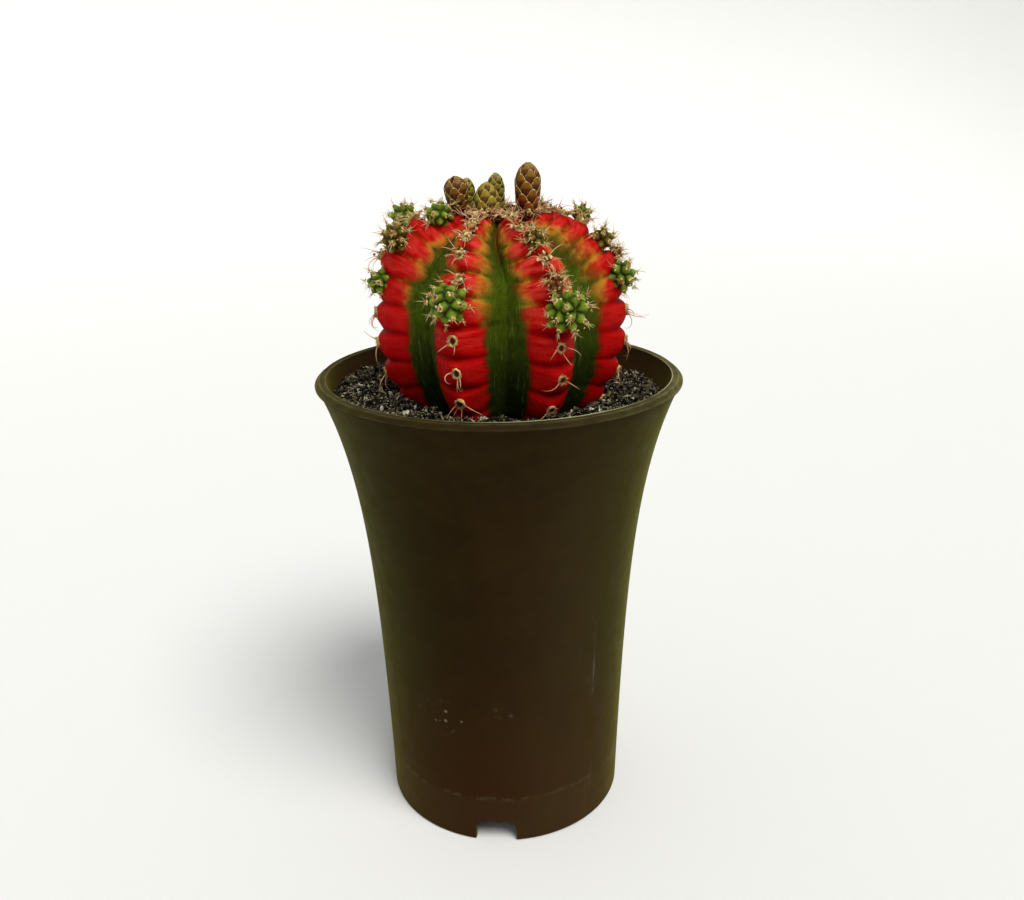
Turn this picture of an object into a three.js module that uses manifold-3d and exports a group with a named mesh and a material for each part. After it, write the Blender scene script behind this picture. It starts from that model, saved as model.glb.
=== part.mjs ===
// A potted moon cactus: a red and green ribbed globe with offsets and flower buds, growing in grit
// in a tall flared plastic pot. Millimetres, +Z up. The origin is the centre of the pot's foot, on the
// surface that the pot stands on. The front of the plant faces -Y, and azimuths turn from there to +X.
import * as THREE from "three";
import { ParametricGeometry } from "three/addons/geometries/ParametricGeometry.js";
import { mergeVertices } from "three/addons/utils/BufferGeometryUtils.js";
import Module from "manifold-3d";

const wasm = await Module();
wasm.setup();

// ---------------------------------------------------------------------------------- dimensions

// Room left between two pieces that touch.
const TOUCHING_GAP = 0.3;

const POT = {
  height: 110,
  footRadius: 29.2,
  taper: 0.02, // widening of the straight part, per millimetre of height
  flare: 11.1, // how far the mouth flares beyond the straight part
  flareLength: 25.4, // height over which the flare falls to a third
  wall: 1.4,
  lipWidth: 2.6,
  lipSlope: 0.8, // how much lower the lip's outer edge is
  lipDepth: 4, // height over which the wall thickens into the lip
  floor: 8, // height of the hollow under the floor
  floorThickness: 1.6,
  segments: 44,
  levels: [8, 34, 58, 76, 90, 100], // heights of the rings that the wall is made of
};

const LIP = {
  chamfer: 0.3, // across the inner edge
  chamferDepth: 1,
};

const NOTCH = { count: 3, azimuth: -5, width: 10, height: 5.5, corner: 3, below: 1, cutterDepth: 12 };

const DRAIN = {
  centreRadius: 4,
  radius: 2.6,
  count: 6,
  ringRadius: 17,
  segments: 12,
  cutterLength: 6,
};

const MIX = {
  top: 105.6,
  tilt: 0.022, // the grit lies lower towards +X
  lump: 0.45, // height of the lumps on top
  rings: [8, 17, 23, 27, 31, 35], // radii of the rings of points on top, inside the one at the wall
};

const LUMPS = { acrossX: 0.61, acrossY: 0.53, slanting: 0.37, start: 1.3 };

// The globe's rib crests follow one outline: a superellipse from the crown down to the widest level,
// and an ellipse from there down to the buried root.
const GLOBE = {
  centreX: 0.8,
  equator: 120.5, // height of the widest level
  radius: 28.5,
  shoulder: 26.5, // from the widest level up to the crown
  fullness: 2.6, // exponent of the superellipse
  belly: 28, // from the widest level down to the root
  crownDip: 3.2, // how far the middle of the crown is sunk
  crownDipRadius: 6,
  valley: 0.285, // depth of the valleys between the ribs, as a share of the radius there
  relief: 1.9, // how far a tubercle stands out from the furrows beside it
  steps: 400, // points along the outline
};

// The section across a rib is part a straight-sided ridge with a rounded crest, part a smooth wave.
const RIDGE = { crestRound: 0.14, waveShare: 0.35, furrowReach: 0.8, shiftFrom: 0.2, shiftTo: 0.8 };

// How far from the root and from the crown, counted in areoles, the ribs reach their full strength.
const RIB_ENDS = { root: 1.6, crown: 3.5 };

// The azimuth of each rib, and how far its areoles sit above a common level, counted in areoles. bend is
// how many degrees the rib turns sideways on its way over the shoulder, and swell is how far its
// shoulder bulges beyond the outline.
const RIBS = [
  { name: "left", azimuth: -79, shift: 0.2, bend: 0, swell: 2.6 },
  { name: "front_left", azimuth: -20, shift: -0.1, bend: -2, swell: 0 },
  { name: "front_right", azimuth: 25, shift: -0.4, bend: -13, swell: 0 },
  { name: "right", azimuth: 80, shift: 0.15, bend: 4, swell: 0.8 },
  { name: "back_right", azimuth: 123, shift: -0.2, bend: 0, swell: 1.2 },
  { name: "back", azimuth: 178, shift: 0.1, bend: 0, swell: 1 },
  { name: "back_left", azimuth: 234, shift: -0.1, bend: 0, swell: 2 },
];

// Where ribs bend and swell, in areole numbers: the bend goes from its start to its end, and the swell
// is a bell round its middle.
const SHOULDER = { bendStart: 4.2, bendEnd: 7.8, swellMiddle: 5.1, swellWidth: 1.7 };

// Areoles are counted up a rib. The distance from the widest level to areole n, along the outline, is
// start + first * n - shrink * n * n, so they stand closer together towards the crown.
const AREOLES = { start: -11.5, first: 7.6, shrink: 0.24 };

// A tubercle runs from one furrow to the next. Its areole lies at the share areole of that way. It
// rises up to the share risen, and drops from the share dropping on.
const TUBERCLE = { areole: 0.62, risen: 0.45, dropping: 0.74, roundness: 0.8 };

// Offsets, by rib and areole number. beside is how far one lies to the right of the rib's crest, and
// stand how far its middle lies off the crest, where it isn't the usual share of its radius. The large
// ones have seven ribs of their own, the small five.
const OFFSETS = [
  { name: "offset_front_left", rib: 1, areole: 3.2, radius: 4.6, beside: -1.6 },
  { name: "offset_front_right", rib: 2, areole: 3.15, radius: 5, beside: 0.9 },
  { name: "offset_front_right_upper", rib: 2, areole: 4.1, radius: 2.2, beside: 0.3 },
  { name: "offset_left", rib: 0, areole: 3.1, radius: 3.2, beside: 1.8, stand: -0.4 },
  { name: "offset_right", rib: 3, areole: 3.25, radius: 4, beside: -1.2, stand: 0.2 },
  { name: "offset_back", rib: 5, areole: 3, radius: 4.6 },
  { name: "offset_back_right_low", rib: 4, areole: 2, radius: 3.9 },
  { name: "offset_back_left_low", rib: 6, areole: 2, radius: 4.1 },
  { name: "offset_left_shoulder", rib: 0, areole: 4.85, radius: 3.4, beside: 3.2, stand: -0.6 },
  { name: "offset_left_top", rib: 0, areole: 7, radius: 3.3, beside: 2.4, stand: -0.1 },
  { name: "offset_back_left_shoulder", rib: 6, areole: 5.1, radius: 3.7, beside: 2.6, stand: 3 },
  { name: "offset_back_left_top", rib: 6, areole: 7, radius: 3.2, stand: -1.1 },
  { name: "offset_front_right_top", rib: 2, areole: 6, radius: 2.4 },
  { name: "offset_right_upper", rib: 3, areole: 4.1, radius: 1.7 },
  { name: "offset_right_shoulder", rib: 3, areole: 4.85, radius: 2.8, beside: -1.6, stand: -0.3 },
  { name: "offset_back_right_top", rib: 4, areole: 5.6, radius: 2.7, stand: 2.7 },
  { name: "offset_crown", rib: 4, areole: 8, radius: 1.7 },
  { name: "offset_back_top", rib: 5, areole: 5, radius: 2.9 },
];

const OFFSET_SHAPE = { smallBelow: 3.5, stand: 0.2, relief: 0.17 };
const LARGE_OFFSET = { ribs: 7, tiers: 3, rows: 8 };
const SMALL_OFFSET = { ribs: 5, tiers: 2, rows: 6 };

// Buds stand on the youngest areoles: their azimuth and their distance from the crown's middle, and how
// far their tip leans towards +X, in degrees.
const BUDS = [
  { name: "flower_bud_left", azimuth: -76, out: 9.4, radius: 2.5, height: 7.9, lean: -4 },
  { name: "flower_bud_left_rear", azimuth: 236, out: 9.7, radius: 2, height: 7, lean: 6 },
  { name: "flower_bud_front", azimuth: -31, out: 5, radius: 2.7, height: 7.6, lean: -3 },
  { name: "flower_bud_rear", azimuth: 188, out: 6.3, radius: 2, height: 8.4, lean: 0 },
  { name: "flower_bud_right", azimuth: 79, out: 6.1, radius: 2.9, height: 11, lean: 2 },
];

// How deep a bud's foot reaches into the crown before the globe is cut out of it.
const BUD_SINK = 1.2;

const BUD_SHAPE = {
  ribs: 4,
  tiers: 3,
  relief: 0.08,
  tip: 0.2,
  bluntness: 0.75,
  columns: 12,
  rows: 8,
};

const WOOL = { radius: 3.2, height: 2, foot: 0.6 };
const WOOL_SHAPE = { ribs: 5, tiers: 1, relief: 0.1, columns: 10, rows: 5 };

// Spine clusters, as the areole numbers on each rib that carry a strong one.
const SPINY_AREOLES = [
  [0, 1, 2, 4],
  [0, 1, 2, 4, 5, 6],
  [0, 1, 2, 5],
  [0, 1, 2],
  [0, 1, 3, 4],
  [0, 1, 2, 4],
  [0, 1, 3, 4],
];

const SPINES = {
  padRadius: 1.25,
  padHeight: 0.8,
  count: 3,
  length: 4.6,
  shorter: 0.12, // how much shorter each next spine is, as a share of the length
  radius: 0.3,
  bend: 1.3,
  fan: 50, // degrees between two spines
  fanWobble: 12,
  outward: 1.1, // how far a spine leans out, against 1 sideways or down
  foot: 0.25, // how far a spine's foot is above the middle of the pad
};

const COLOURS = {
  pot: 0x2c2416,
  mix: 0x23211f,
  body: 0xb01612,
  offset: 0x4f8a2c,
  bud: 0x5f5a2b,
  wool: 0xcbb489,
  spine: 0xc9a06c,
};

// --------------------------------------------------------------------------------------- tools

const MERGE_DISTANCE = 1e-3;

const radians = THREE.MathUtils.degToRad;

/** The horizontal direction at an azimuth in degrees, turning from -Y to +X. */
function towards(azimuth) {
  return new THREE.Vector3(Math.sin(radians(azimuth)), -Math.cos(radians(azimuth)), 0);
}

/** A closed geometry as a manifold-3d solid, with faces out and collapsed triangles dropped. */
function solidOf(geometry) {
  const bare = new THREE.BufferGeometry();
  bare.setAttribute("position", geometry.getAttribute("position"));
  bare.setIndex(geometry.index);
  const merged = mergeVertices(bare, MERGE_DISTANCE);
  const corners = merged.index.array;
  const kept = [];
  for (let i = 0; i < corners.length; i += 3) {
    const [a, b, c] = corners.slice(i, i + 3);
    if (a !== b && b !== c && a !== c) kept.push(a, b, c);
  }
  const vertProperties = new Float32Array(merged.attributes.position.array);
  const solid = new wasm.Manifold(
    new wasm.Mesh({ numProp: 3, vertProperties, triVerts: new Uint32Array(kept) }),
  );
  if (solid.volume() > 0) return solid;
  return new wasm.Manifold(
    new wasm.Mesh({ numProp: 3, vertProperties, triVerts: new Uint32Array(kept.reverse()) }),
  );
}

/** The largest of the separate bodies that a solid holds. */
function largest(solid) {
  const bodies = solid.decompose();
  return bodies.reduce((best, body) => (body.volume() > best.volume() ? body : best));
}

/** A named mesh that shows a solid. */
function pieceOf(name, solid, colour, roughness) {
  const { vertProperties, triVerts } = solid.getMesh();
  const geometry = new THREE.BufferGeometry();
  geometry.setAttribute("position", new THREE.BufferAttribute(vertProperties, 3));
  geometry.setIndex(new THREE.BufferAttribute(triVerts, 1));
  geometry.computeVertexNormals();
  const material = new THREE.MeshStandardMaterial({ color: colour, roughness, metalness: 0 });
  const mesh = new THREE.Mesh(geometry, material);
  mesh.name = name;
  return mesh;
}

/** A closed surface round the Z axis as a solid. place(turn, climb) gives its points, with turn from 0
 * to 1 round the axis and climb from 0 at the lower pole to 1 at the upper one. */
function roundSurface(place, columns, rows) {
  const surface = (u, v, target) => target.copy(place(u === 1 ? 0 : u, v));
  return solidOf(new ParametricGeometry(surface, columns, rows));
}

/** A geometry moved so that its +Z points along a direction, from a point. */
function stand(geometry, point, direction) {
  const turn = new THREE.Quaternion().setFromUnitVectors(new THREE.Vector3(0, 0, 1), direction);
  return geometry.applyQuaternion(turn).translate(point.x, point.y, point.z);
}

// ----------------------------------------------------------------------------------------- pot

/** The pot's outer radius at a height: a straight taper, and a flare that grows towards the mouth. */
function potRadius(height) {
  const flare = POT.flare * Math.exp((height - POT.height) / POT.flareLength);
  return POT.footRadius + POT.taper * height + flare;
}

/** The pot's inner radius at a height, a wall's thickness in from the outside. */
function potInnerRadius(height) {
  const slope = potRadius(height + 0.5) - potRadius(height - 0.5);
  return potRadius(height) - POT.wall * Math.hypot(1, slope);
}

/** A half section turned round the Z axis as a solid. Its points are [radius, height]. */
function turned(points, segments) {
  const profile = points.map(([radius, height]) => new THREE.Vector2(radius, height));
  return solidOf(new THREE.LatheGeometry(profile, segments).rotateX(Math.PI / 2));
}

/** One foot notch: a rounded arch, pushed through the wall. */
function notchCutter(azimuth) {
  const half = NOTCH.width / 2;
  const arch = new THREE.Shape();
  arch.moveTo(-half, -NOTCH.below);
  arch.lineTo(half, -NOTCH.below);
  arch.lineTo(half, NOTCH.height - NOTCH.corner);
  arch.quadraticCurveTo(half, NOTCH.height, half - NOTCH.corner, NOTCH.height);
  arch.lineTo(NOTCH.corner - half, NOTCH.height);
  arch.quadraticCurveTo(-half, NOTCH.height, -half, NOTCH.height - NOTCH.corner);
  const depth = NOTCH.cutterDepth;
  const block = new THREE.ExtrudeGeometry(arch, { depth, bevelEnabled: false, curveSegments: 4 });
  block.rotateX(Math.PI / 2);
  block.translate(0, depth / 2 - POT.footRadius, 0);
  return solidOf(block.rotateZ(radians(azimuth)));
}

/** A drain hole's cylinder, through the floor. */
function drainCutter(radius, x, y) {
  const hole = new THREE.CylinderGeometry(radius, radius, DRAIN.cutterLength, DRAIN.segments);
  return solidOf(hole.rotateX(Math.PI / 2).translate(x, y, POT.floor));
}

function buildPot() {
  const floorTop = POT.floor + POT.floorThickness;
  const innerLevels = POT.levels.filter((height) => height > floorTop);
  const lipFoot = POT.height - POT.lipDepth;
  const lipInner = potRadius(POT.height) - POT.lipWidth;
  let pot = turned(
    [
      [0, floorTop],
      [potInnerRadius(floorTop), floorTop],
      ...innerLevels.map((height) => [potInnerRadius(height), height]),
      [potInnerRadius(lipFoot), lipFoot],
      [lipInner, POT.height - LIP.chamferDepth],
      [lipInner + LIP.chamfer, POT.height],
      [potRadius(POT.height), POT.height - POT.lipSlope],
      [potRadius(lipFoot), lipFoot],
      ...POT.levels.toReversed().map((height) => [potRadius(height), height]),
      [potRadius(0), 0],
      [potInnerRadius(0), 0],
      [potInnerRadius(POT.floor), POT.floor],
      [0, POT.floor],
    ],
    POT.segments,
  );
  for (let i = 0; i < NOTCH.count; i += 1) {
    pot = pot.subtract(notchCutter(NOTCH.azimuth + (i * 360) / NOTCH.count));
  }
  pot = pot.subtract(drainCutter(DRAIN.centreRadius, 0, 0));
  for (let i = 0; i < DRAIN.count; i += 1) {
    const place = towards((i * 360) / DRAIN.count).multiplyScalar(DRAIN.ringRadius);
    pot = pot.subtract(drainCutter(DRAIN.radius, place.x, place.y));
  }
  return pot;
}

// --------------------------------------------------------------------------------------- globe

/** The rib outline as a list of points {along, radius, height}, from the root to the crown, with along
 * the distance from the widest level. */
function outline() {
  const points = [];
  for (let i = 0; i <= GLOBE.steps; i += 1) {
    const angle = -Math.PI / 2 + (Math.PI * i) / GLOBE.steps;
    const upper = angle > 0;
    const power = upper ? 2 / GLOBE.fullness : 1;
    const rise = Math.abs(Math.sin(angle)) ** power;
    const pole = i === 0 || i === GLOBE.steps;
    const radius = pole ? 0 : GLOBE.radius * Math.cos(angle) ** power;
    const dip = upper ? GLOBE.crownDip * Math.exp(-((radius / GLOBE.crownDipRadius) ** 2)) : 0;
    points.push({ radius, height: upper ? GLOBE.shoulder * rise - dip : -GLOBE.belly * rise });
  }
  let length = 0;
  points.forEach((point, i) => {
    const before = points[Math.max(0, i - 1)];
    length += Math.hypot(point.radius - before.radius, point.height - before.height);
    point.along = length;
  });
  const middle = points.find((point) => point.height >= 0).along;
  points.forEach((point) => {
    point.along -= middle;
  });
  return points;
}

const OUTLINE = outline();

/** The outline's {radius, height} at a distance along it, and its outward normal there. */
function outlineAt(along) {
  const last = OUTLINE.length - 1;
  const next = OUTLINE.findIndex((point) => point.along >= along);
  const i = next === -1 ? last : Math.max(1, next);
  const [from, to] = [OUTLINE[i - 1], OUTLINE[i]];
  const share = THREE.MathUtils.clamp((along - from.along) / (to.along - from.along), 0, 1);
  const radius = THREE.MathUtils.lerp(from.radius, to.radius, share);
  const height = THREE.MathUtils.lerp(from.height, to.height, share);
  const run = Math.hypot(to.radius - from.radius, to.height - from.height);
  const out = (to.height - from.height) / run;
  const up = (from.radius - to.radius) / run;
  return { radius, height, out, up };
}

/** The distance along the outline at an areole number, which need not be whole. */
function alongAt(number) {
  return AREOLES.start + AREOLES.first * number - AREOLES.shrink * number * number;
}

/** The areole number at a distance along the outline. */
function numberAt(along) {
  const { start, first, shrink } = AREOLES;
  return (first - Math.sqrt(first * first - 4 * shrink * (along - start))) / (2 * shrink);
}

const ROOT_NUMBER = numberAt(OUTLINE[0].along);
const CROWN_NUMBER = numberAt(OUTLINE[OUTLINE.length - 1].along);

/** How far a tubercle stands out, from 0 in the furrow to 1 at its tip, at an areole number. It rises
 * slowly up the chin, and drops sharply above the areole. */
function tubercle(number) {
  const { risen, dropping, roundness } = TUBERCLE;
  const climb = THREE.MathUtils.euclideanModulo(number + TUBERCLE.areole, 1);
  const rising = Math.min(1, climb / risen);
  const dropped = Math.max(0, (climb - dropping) / (1 - dropping));
  return (Math.sin((Math.PI / 2) * rising) * Math.cos((Math.PI / 2) * dropped)) ** roundness;
}

/** A share from 0 to 1 that is full along the middle of a rib and fades out at both its ends. */
function ribStrength(number) {
  const low = THREE.MathUtils.smoothstep(number, ROOT_NUMBER, ROOT_NUMBER + RIB_ENDS.root);
  const high = THREE.MathUtils.smoothstep(number, CROWN_NUMBER - RIB_ENDS.crown, CROWN_NUMBER);
  return low * (1 - high);
}

/** The azimuth of a rib's crest at an areole number. */
function ribAzimuth(rib, number) {
  const { azimuth, bend } = RIBS[rib];
  return azimuth + bend * THREE.MathUtils.smoothstep(number, SHOULDER.bendStart, SHOULDER.bendEnd);
}

/** How far the outline is swollen between two ribs, a part of the way from one to the next. */
function swellAt(rib, next, part, number) {
  const bell = Math.exp(-(((number - SHOULDER.swellMiddle) / SHOULDER.swellWidth) ** 2));
  const share = THREE.MathUtils.smoothstep(part, 0, 1);
  return bell * THREE.MathUtils.lerp(RIBS[rib].swell, RIBS[next].swell, share);
}

/** The globe's surface. turn counts ribs round the globe, whole at the crests and half way between
 * them in the valleys. number counts areoles up the rib. grow moves the surface outwards. */
function globePoint(turn, number, grow = 0) {
  const rib = Math.floor(turn) % RIBS.length;
  const next = (rib + 1) % RIBS.length;
  const part = turn - Math.floor(turn);
  const start = ribAzimuth(rib, number);
  const gap = THREE.MathUtils.euclideanModulo(ribAzimuth(next, number) - start, 360);
  const shift = THREE.MathUtils.lerp(
    RIBS[rib].shift,
    RIBS[next].shift,
    THREE.MathUtils.smoothstep(part, RIDGE.shiftFrom, RIDGE.shiftTo),
  );
  const strength = ribStrength(number);
  const at = outlineAt(alongAt(number + shift * strength));
  const fromCrest = 2 * Math.min(part, 1 - part);
  const fall = (distance) => Math.hypot(distance, RIDGE.crestRound) - RIDGE.crestRound;
  const straight = fall(fromCrest) / fall(1);
  const wave = (1 - Math.cos(Math.PI * fromCrest)) / 2;
  const depth = GLOBE.valley * at.radius * THREE.MathUtils.lerp(straight, wave, RIDGE.waveShare);
  const reach = (1 - fromCrest) ** RIDGE.furrowReach;
  const furrow = GLOBE.relief * strength * (1 - tubercle(number)) * reach;
  const moved = grow + swellAt(rib, next, part, number) - depth - furrow;
  const radius = Math.max(0, at.radius + at.out * moved);
  const point = towards(start + gap * part).multiplyScalar(at.radius === 0 ? 0 : radius);
  return point.add(new THREE.Vector3(GLOBE.centreX, 0, GLOBE.equator + at.height + at.up * moved));
}

// Where the globe's columns and rows stand: close together at the crests, and at the areole, the
// furrow above it and the next chin.
const RIB_COLUMNS = [0, 0.1, 0.22, 0.36, 0.5, 0.64, 0.78, 0.9];
const TUBERCLE_ROWS = [0.1, 0.38, 0.8];
const FIRST_TUBERCLE = -1;
const LAST_TUBERCLE = 9;
const ROOT_ROWS = [0, 0.8, 1.7]; // counted up from the root
const CROWN_ROWS = [0, 1, 2]; // counted up from the last tubercle

/** The areole numbers of the globe's rows, from the root to the crown. */
function globeRows() {
  const rows = ROOT_ROWS.map((step) => ROOT_NUMBER + step);
  for (let n = FIRST_TUBERCLE; n < LAST_TUBERCLE; n += 1) {
    rows.push(...TUBERCLE_ROWS.map((share) => n + share));
  }
  rows.push(...CROWN_ROWS.map((step) => LAST_TUBERCLE + step), CROWN_NUMBER);
  return rows;
}

function buildGlobe(grow = 0) {
  const rows = globeRows();
  const columns = RIBS.length * RIB_COLUMNS.length;
  const place = (turn, climb) => {
    const column = Math.round(turn * columns) % columns;
    const rib = Math.floor(column / RIB_COLUMNS.length);
    const number = rows[Math.round(climb * (rows.length - 1))];
    return globePoint(rib + RIB_COLUMNS[column % RIB_COLUMNS.length], number, grow);
  };
  return roundSurface(place, columns, rows.length - 1);
}

/** A crest point of the globe, the direction that an areole there faces, and the one to its right. */
function areole(rib, number) {
  const at = outlineAt(alongAt(number + RIBS[rib].shift * ribStrength(number)));
  const azimuth = ribAzimuth(rib, number);
  const outward = towards(azimuth).multiplyScalar(at.out);
  return {
    point: globePoint(rib, number),
    direction: outward.setZ(at.up).normalize(),
    side: towards(azimuth + 90),
  };
}

// ----------------------------------------------------------------------- offsets, buds and wool

/** A knobbed ball or bud on its foot at the origin, growing along +Z: ribs round it, and rows of
 * knobs up it that are staggered from rib to rib. */
function knobbed({ radius, height, ribs, tiers, relief, tip = 0, bluntness = 1, columns, rows }) {
  return new ParametricGeometry(
    (u, v, target) => {
      const turn = u === 1 ? 0 : u;
      const angle = Math.PI * v;
      const ring = v === 0 || v === 1 ? 0 : Math.sin(angle) ** bluntness;
      const around = Math.cos(2 * Math.PI * ribs * turn);
      const upwards = Math.cos(2 * Math.PI * tiers * v);
      const knob = 1 + relief * around * upwards * ring;
      const narrowing = 1 - tip * v * v;
      const distance = radius * ring * knob * narrowing;
      const side = towards(360 * turn).multiplyScalar(distance);
      target.set(side.x, side.y, (height * (1 - Math.cos(angle))) / 2);
    },
    columns,
    rows,
  );
}

/** An offset on its areole. grow makes it that much larger all round. */
function offsetBall({ rib, areole: number, radius, stand: given, beside = 0 }, grow = 0) {
  const shape = radius < OFFSET_SHAPE.smallBelow ? SMALL_OFFSET : LARGE_OFFSET;
  const { point, direction, side } = areole(rib, number);
  const ball = knobbed({
    ...shape,
    radius: radius / (1 + OFFSET_SHAPE.relief) + grow,
    height: 2 * (radius + grow),
    relief: OFFSET_SHAPE.relief,
    columns: 2 * shape.ribs,
  });
  const off = given ?? OFFSET_SHAPE.stand * radius;
  const foot = point.addScaledVector(direction, off - radius - grow).addScaledVector(side, beside);
  return solidOf(stand(ball, foot, direction));
}

/** The height of the crown's surface at a distance from its middle. */
function crownHeight(distance) {
  const upper = OUTLINE.filter((point) => point.along > 0);
  const at = upper.find((point) => point.radius <= distance) ?? upper[upper.length - 1];
  return GLOBE.equator + at.height;
}

/** A bud on the crown. grow makes it that much larger all round. */
function budBody({ azimuth, out, radius, height, lean }, grow = 0) {
  const foot = towards(azimuth).multiplyScalar(out);
  foot.x += GLOBE.centreX;
  foot.z = crownHeight(out) - BUD_SINK - grow;
  const direction = new THREE.Vector3(Math.sin(radians(lean)), 0, Math.cos(radians(lean)));
  const bud = knobbed({
    ...BUD_SHAPE,
    radius: radius + grow,
    height: height + BUD_SINK + 2 * grow,
  });
  return solidOf(stand(bud, foot, direction));
}

/** The tuft of felt in the middle of the crown. */
function woolTuft() {
  const tuft = knobbed({ ...WOOL_SHAPE, radius: WOOL.radius, height: 2 * WOOL.height });
  return solidOf(tuft.translate(GLOBE.centreX, 0, crownHeight(0) - WOOL.height * WOOL.foot));
}

// ---------------------------------------------------------------------------------- spine clusters

/** One tapered spine from the origin along +Z, curving towards +X. */
function spineGeometry(length, bend) {
  const spine = new THREE.ConeGeometry(SPINES.radius, length, 3, 2).rotateX(Math.PI / 2);
  spine.translate(0, 0, length / 2);
  const points = spine.getAttribute("position");
  for (let i = 0; i < points.count; i += 1) {
    points.setX(i, points.getX(i) + bend * (points.getZ(i) / length) ** 2);
  }
  return spine;
}

/** A felt pad with spines that lean outwards round its lower side, spread a little differently on each
 * areole. */
function spineCluster(rib, number) {
  const { point, direction, side } = areole(rib, number);
  const pad = new THREE.SphereGeometry(1, 6, 4).rotateX(Math.PI / 2);
  pad.scale(SPINES.padRadius, SPINES.padRadius, SPINES.padHeight);
  const seat = point.clone().addScaledVector(direction, TOUCHING_GAP + 0.1);
  let cluster = solidOf(stand(pad, seat, direction));
  const wobble = Math.sin(7 * rib + 3 * number);
  for (let i = 0; i < SPINES.count; i += 1) {
    const fan = SPINES.fan * (i - (SPINES.count - 1) / 2) + SPINES.fanWobble * wobble;
    const aim = direction.clone().multiplyScalar(SPINES.outward);
    aim.addScaledVector(side, Math.sin(radians(fan)));
    aim.z -= Math.cos(radians(fan));
    aim.normalize();
    const spine = spineGeometry(SPINES.length * (1 - SPINES.shorter * i), SPINES.bend * wobble);
    const foot = seat.clone().addScaledVector(direction, SPINES.foot);
    cluster = cluster.add(solidOf(stand(spine, foot, aim)));
  }
  return cluster;
}

// ---------------------------------------------------------------------------------- potting mix

/** How high the grit stands at a point: a gentle slope with lumps. */
function gritHeight(x, y) {
  const crossing = Math.sin(LUMPS.acrossX * x + LUMPS.start) * Math.cos(LUMPS.acrossY * y);
  const slanting = Math.sin(LUMPS.slanting * (x - y));
  return MIX.top - MIX.tilt * x + MIX.lump * (crossing + slanting);
}

/** The grit without the globe in it. raised lifts its top, and inset keeps it off the pot's wall. */
function gritMass(raised, inset) {
  const bottom = POT.floor + POT.floorThickness + TOUCHING_GAP;
  const wallLevels = [...POT.levels.filter((height) => height > bottom), MIX.top];
  const mass = new THREE.LatheGeometry(
    [
      new THREE.Vector2(0, bottom),
      new THREE.Vector2(potInnerRadius(bottom) - inset, bottom),
      ...wallLevels.map((height) => new THREE.Vector2(potInnerRadius(height) - inset, height)),
      ...MIX.rings.toReversed().map((radius) => new THREE.Vector2(radius, MIX.top)),
      new THREE.Vector2(0, MIX.top),
    ],
    POT.segments,
  );
  mass.rotateX(Math.PI / 2);
  const points = mass.getAttribute("position");
  const top = MIX.top - MERGE_DISTANCE;
  const outermost = MIX.rings.at(-1) + MERGE_DISTANCE;
  for (let i = 0; i < points.count; i += 1) {
    if (points.getZ(i) < top) continue;
    const [x, y] = [points.getX(i), points.getY(i)];
    const height = gritHeight(x, y) + raised;
    const distance = Math.hypot(x, y);
    const scale = distance > outermost ? (potInnerRadius(height) - inset) / distance : 1;
    points.setXYZ(i, x * scale, y * scale, height);
  }
  return solidOf(mass);
}

// -------------------------------------------------------------------------------------- assembly

const plant = new THREE.Group();
const spare = TOUCHING_GAP + 0.1;
const clearGlobe = buildGlobe(spare);

plant.add(pieceOf("pot", buildPot(), COLOURS.pot, 0.6));
const grit = largest(gritMass(0, spare).subtract(clearGlobe));
plant.add(pieceOf("potting_mix", grit, COLOURS.mix, 0.95));
plant.add(pieceOf("plant_body", buildGlobe(), COLOURS.body, 0.45));

/** Adds a small piece, less the room that its neighbours take up. */
function addSmall(name, solid, neighbours, colour, roughness) {
  const cleared = neighbours.reduce((left, neighbour) => left.subtract(neighbour), solid);
  plant.add(pieceOf(name, largest(cleared), colour, roughness));
}

const clearOffsets = OFFSETS.map((offset) => offsetBall(offset, spare));
OFFSETS.forEach((offset, i) => {
  const neighbours = [clearGlobe, ...clearOffsets.slice(0, i)];
  addSmall(offset.name, offsetBall(offset), neighbours, COLOURS.offset, 0.5);
});
for (const bud of BUDS) {
  addSmall(bud.name, budBody(bud), [clearGlobe], COLOURS.bud, 0.55);
}
const clearBuds = BUDS.map((bud) => budBody(bud, spare));
addSmall("crown_wool", woolTuft(), [clearGlobe, ...clearBuds], COLOURS.wool, 0.95);

const aroundSpines = [clearGlobe, gritMass(spare, 0), ...clearOffsets];
SPINY_AREOLES.forEach((numbers, rib) => {
  for (const number of numbers) {
    const name = `spines_${RIBS[rib].name}_${number + 1}`;
    addSmall(name, spineCluster(rib, number), aroundSpines, COLOURS.spine, 0.8);
  }
});

export default plant;
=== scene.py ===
"""A potted moon cactus: a red and green ribbed globe with offsets and buds, in grit in a plastic pot.

Lengths are in millimetres until a mesh is written, and +Z is up. The front of the plant faces -Y, and
azimuths turn from there to +X, in degrees.
"""

import logging
import math
from dataclasses import dataclass, field
from enum import Enum
from functools import cached_property, partial

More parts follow.
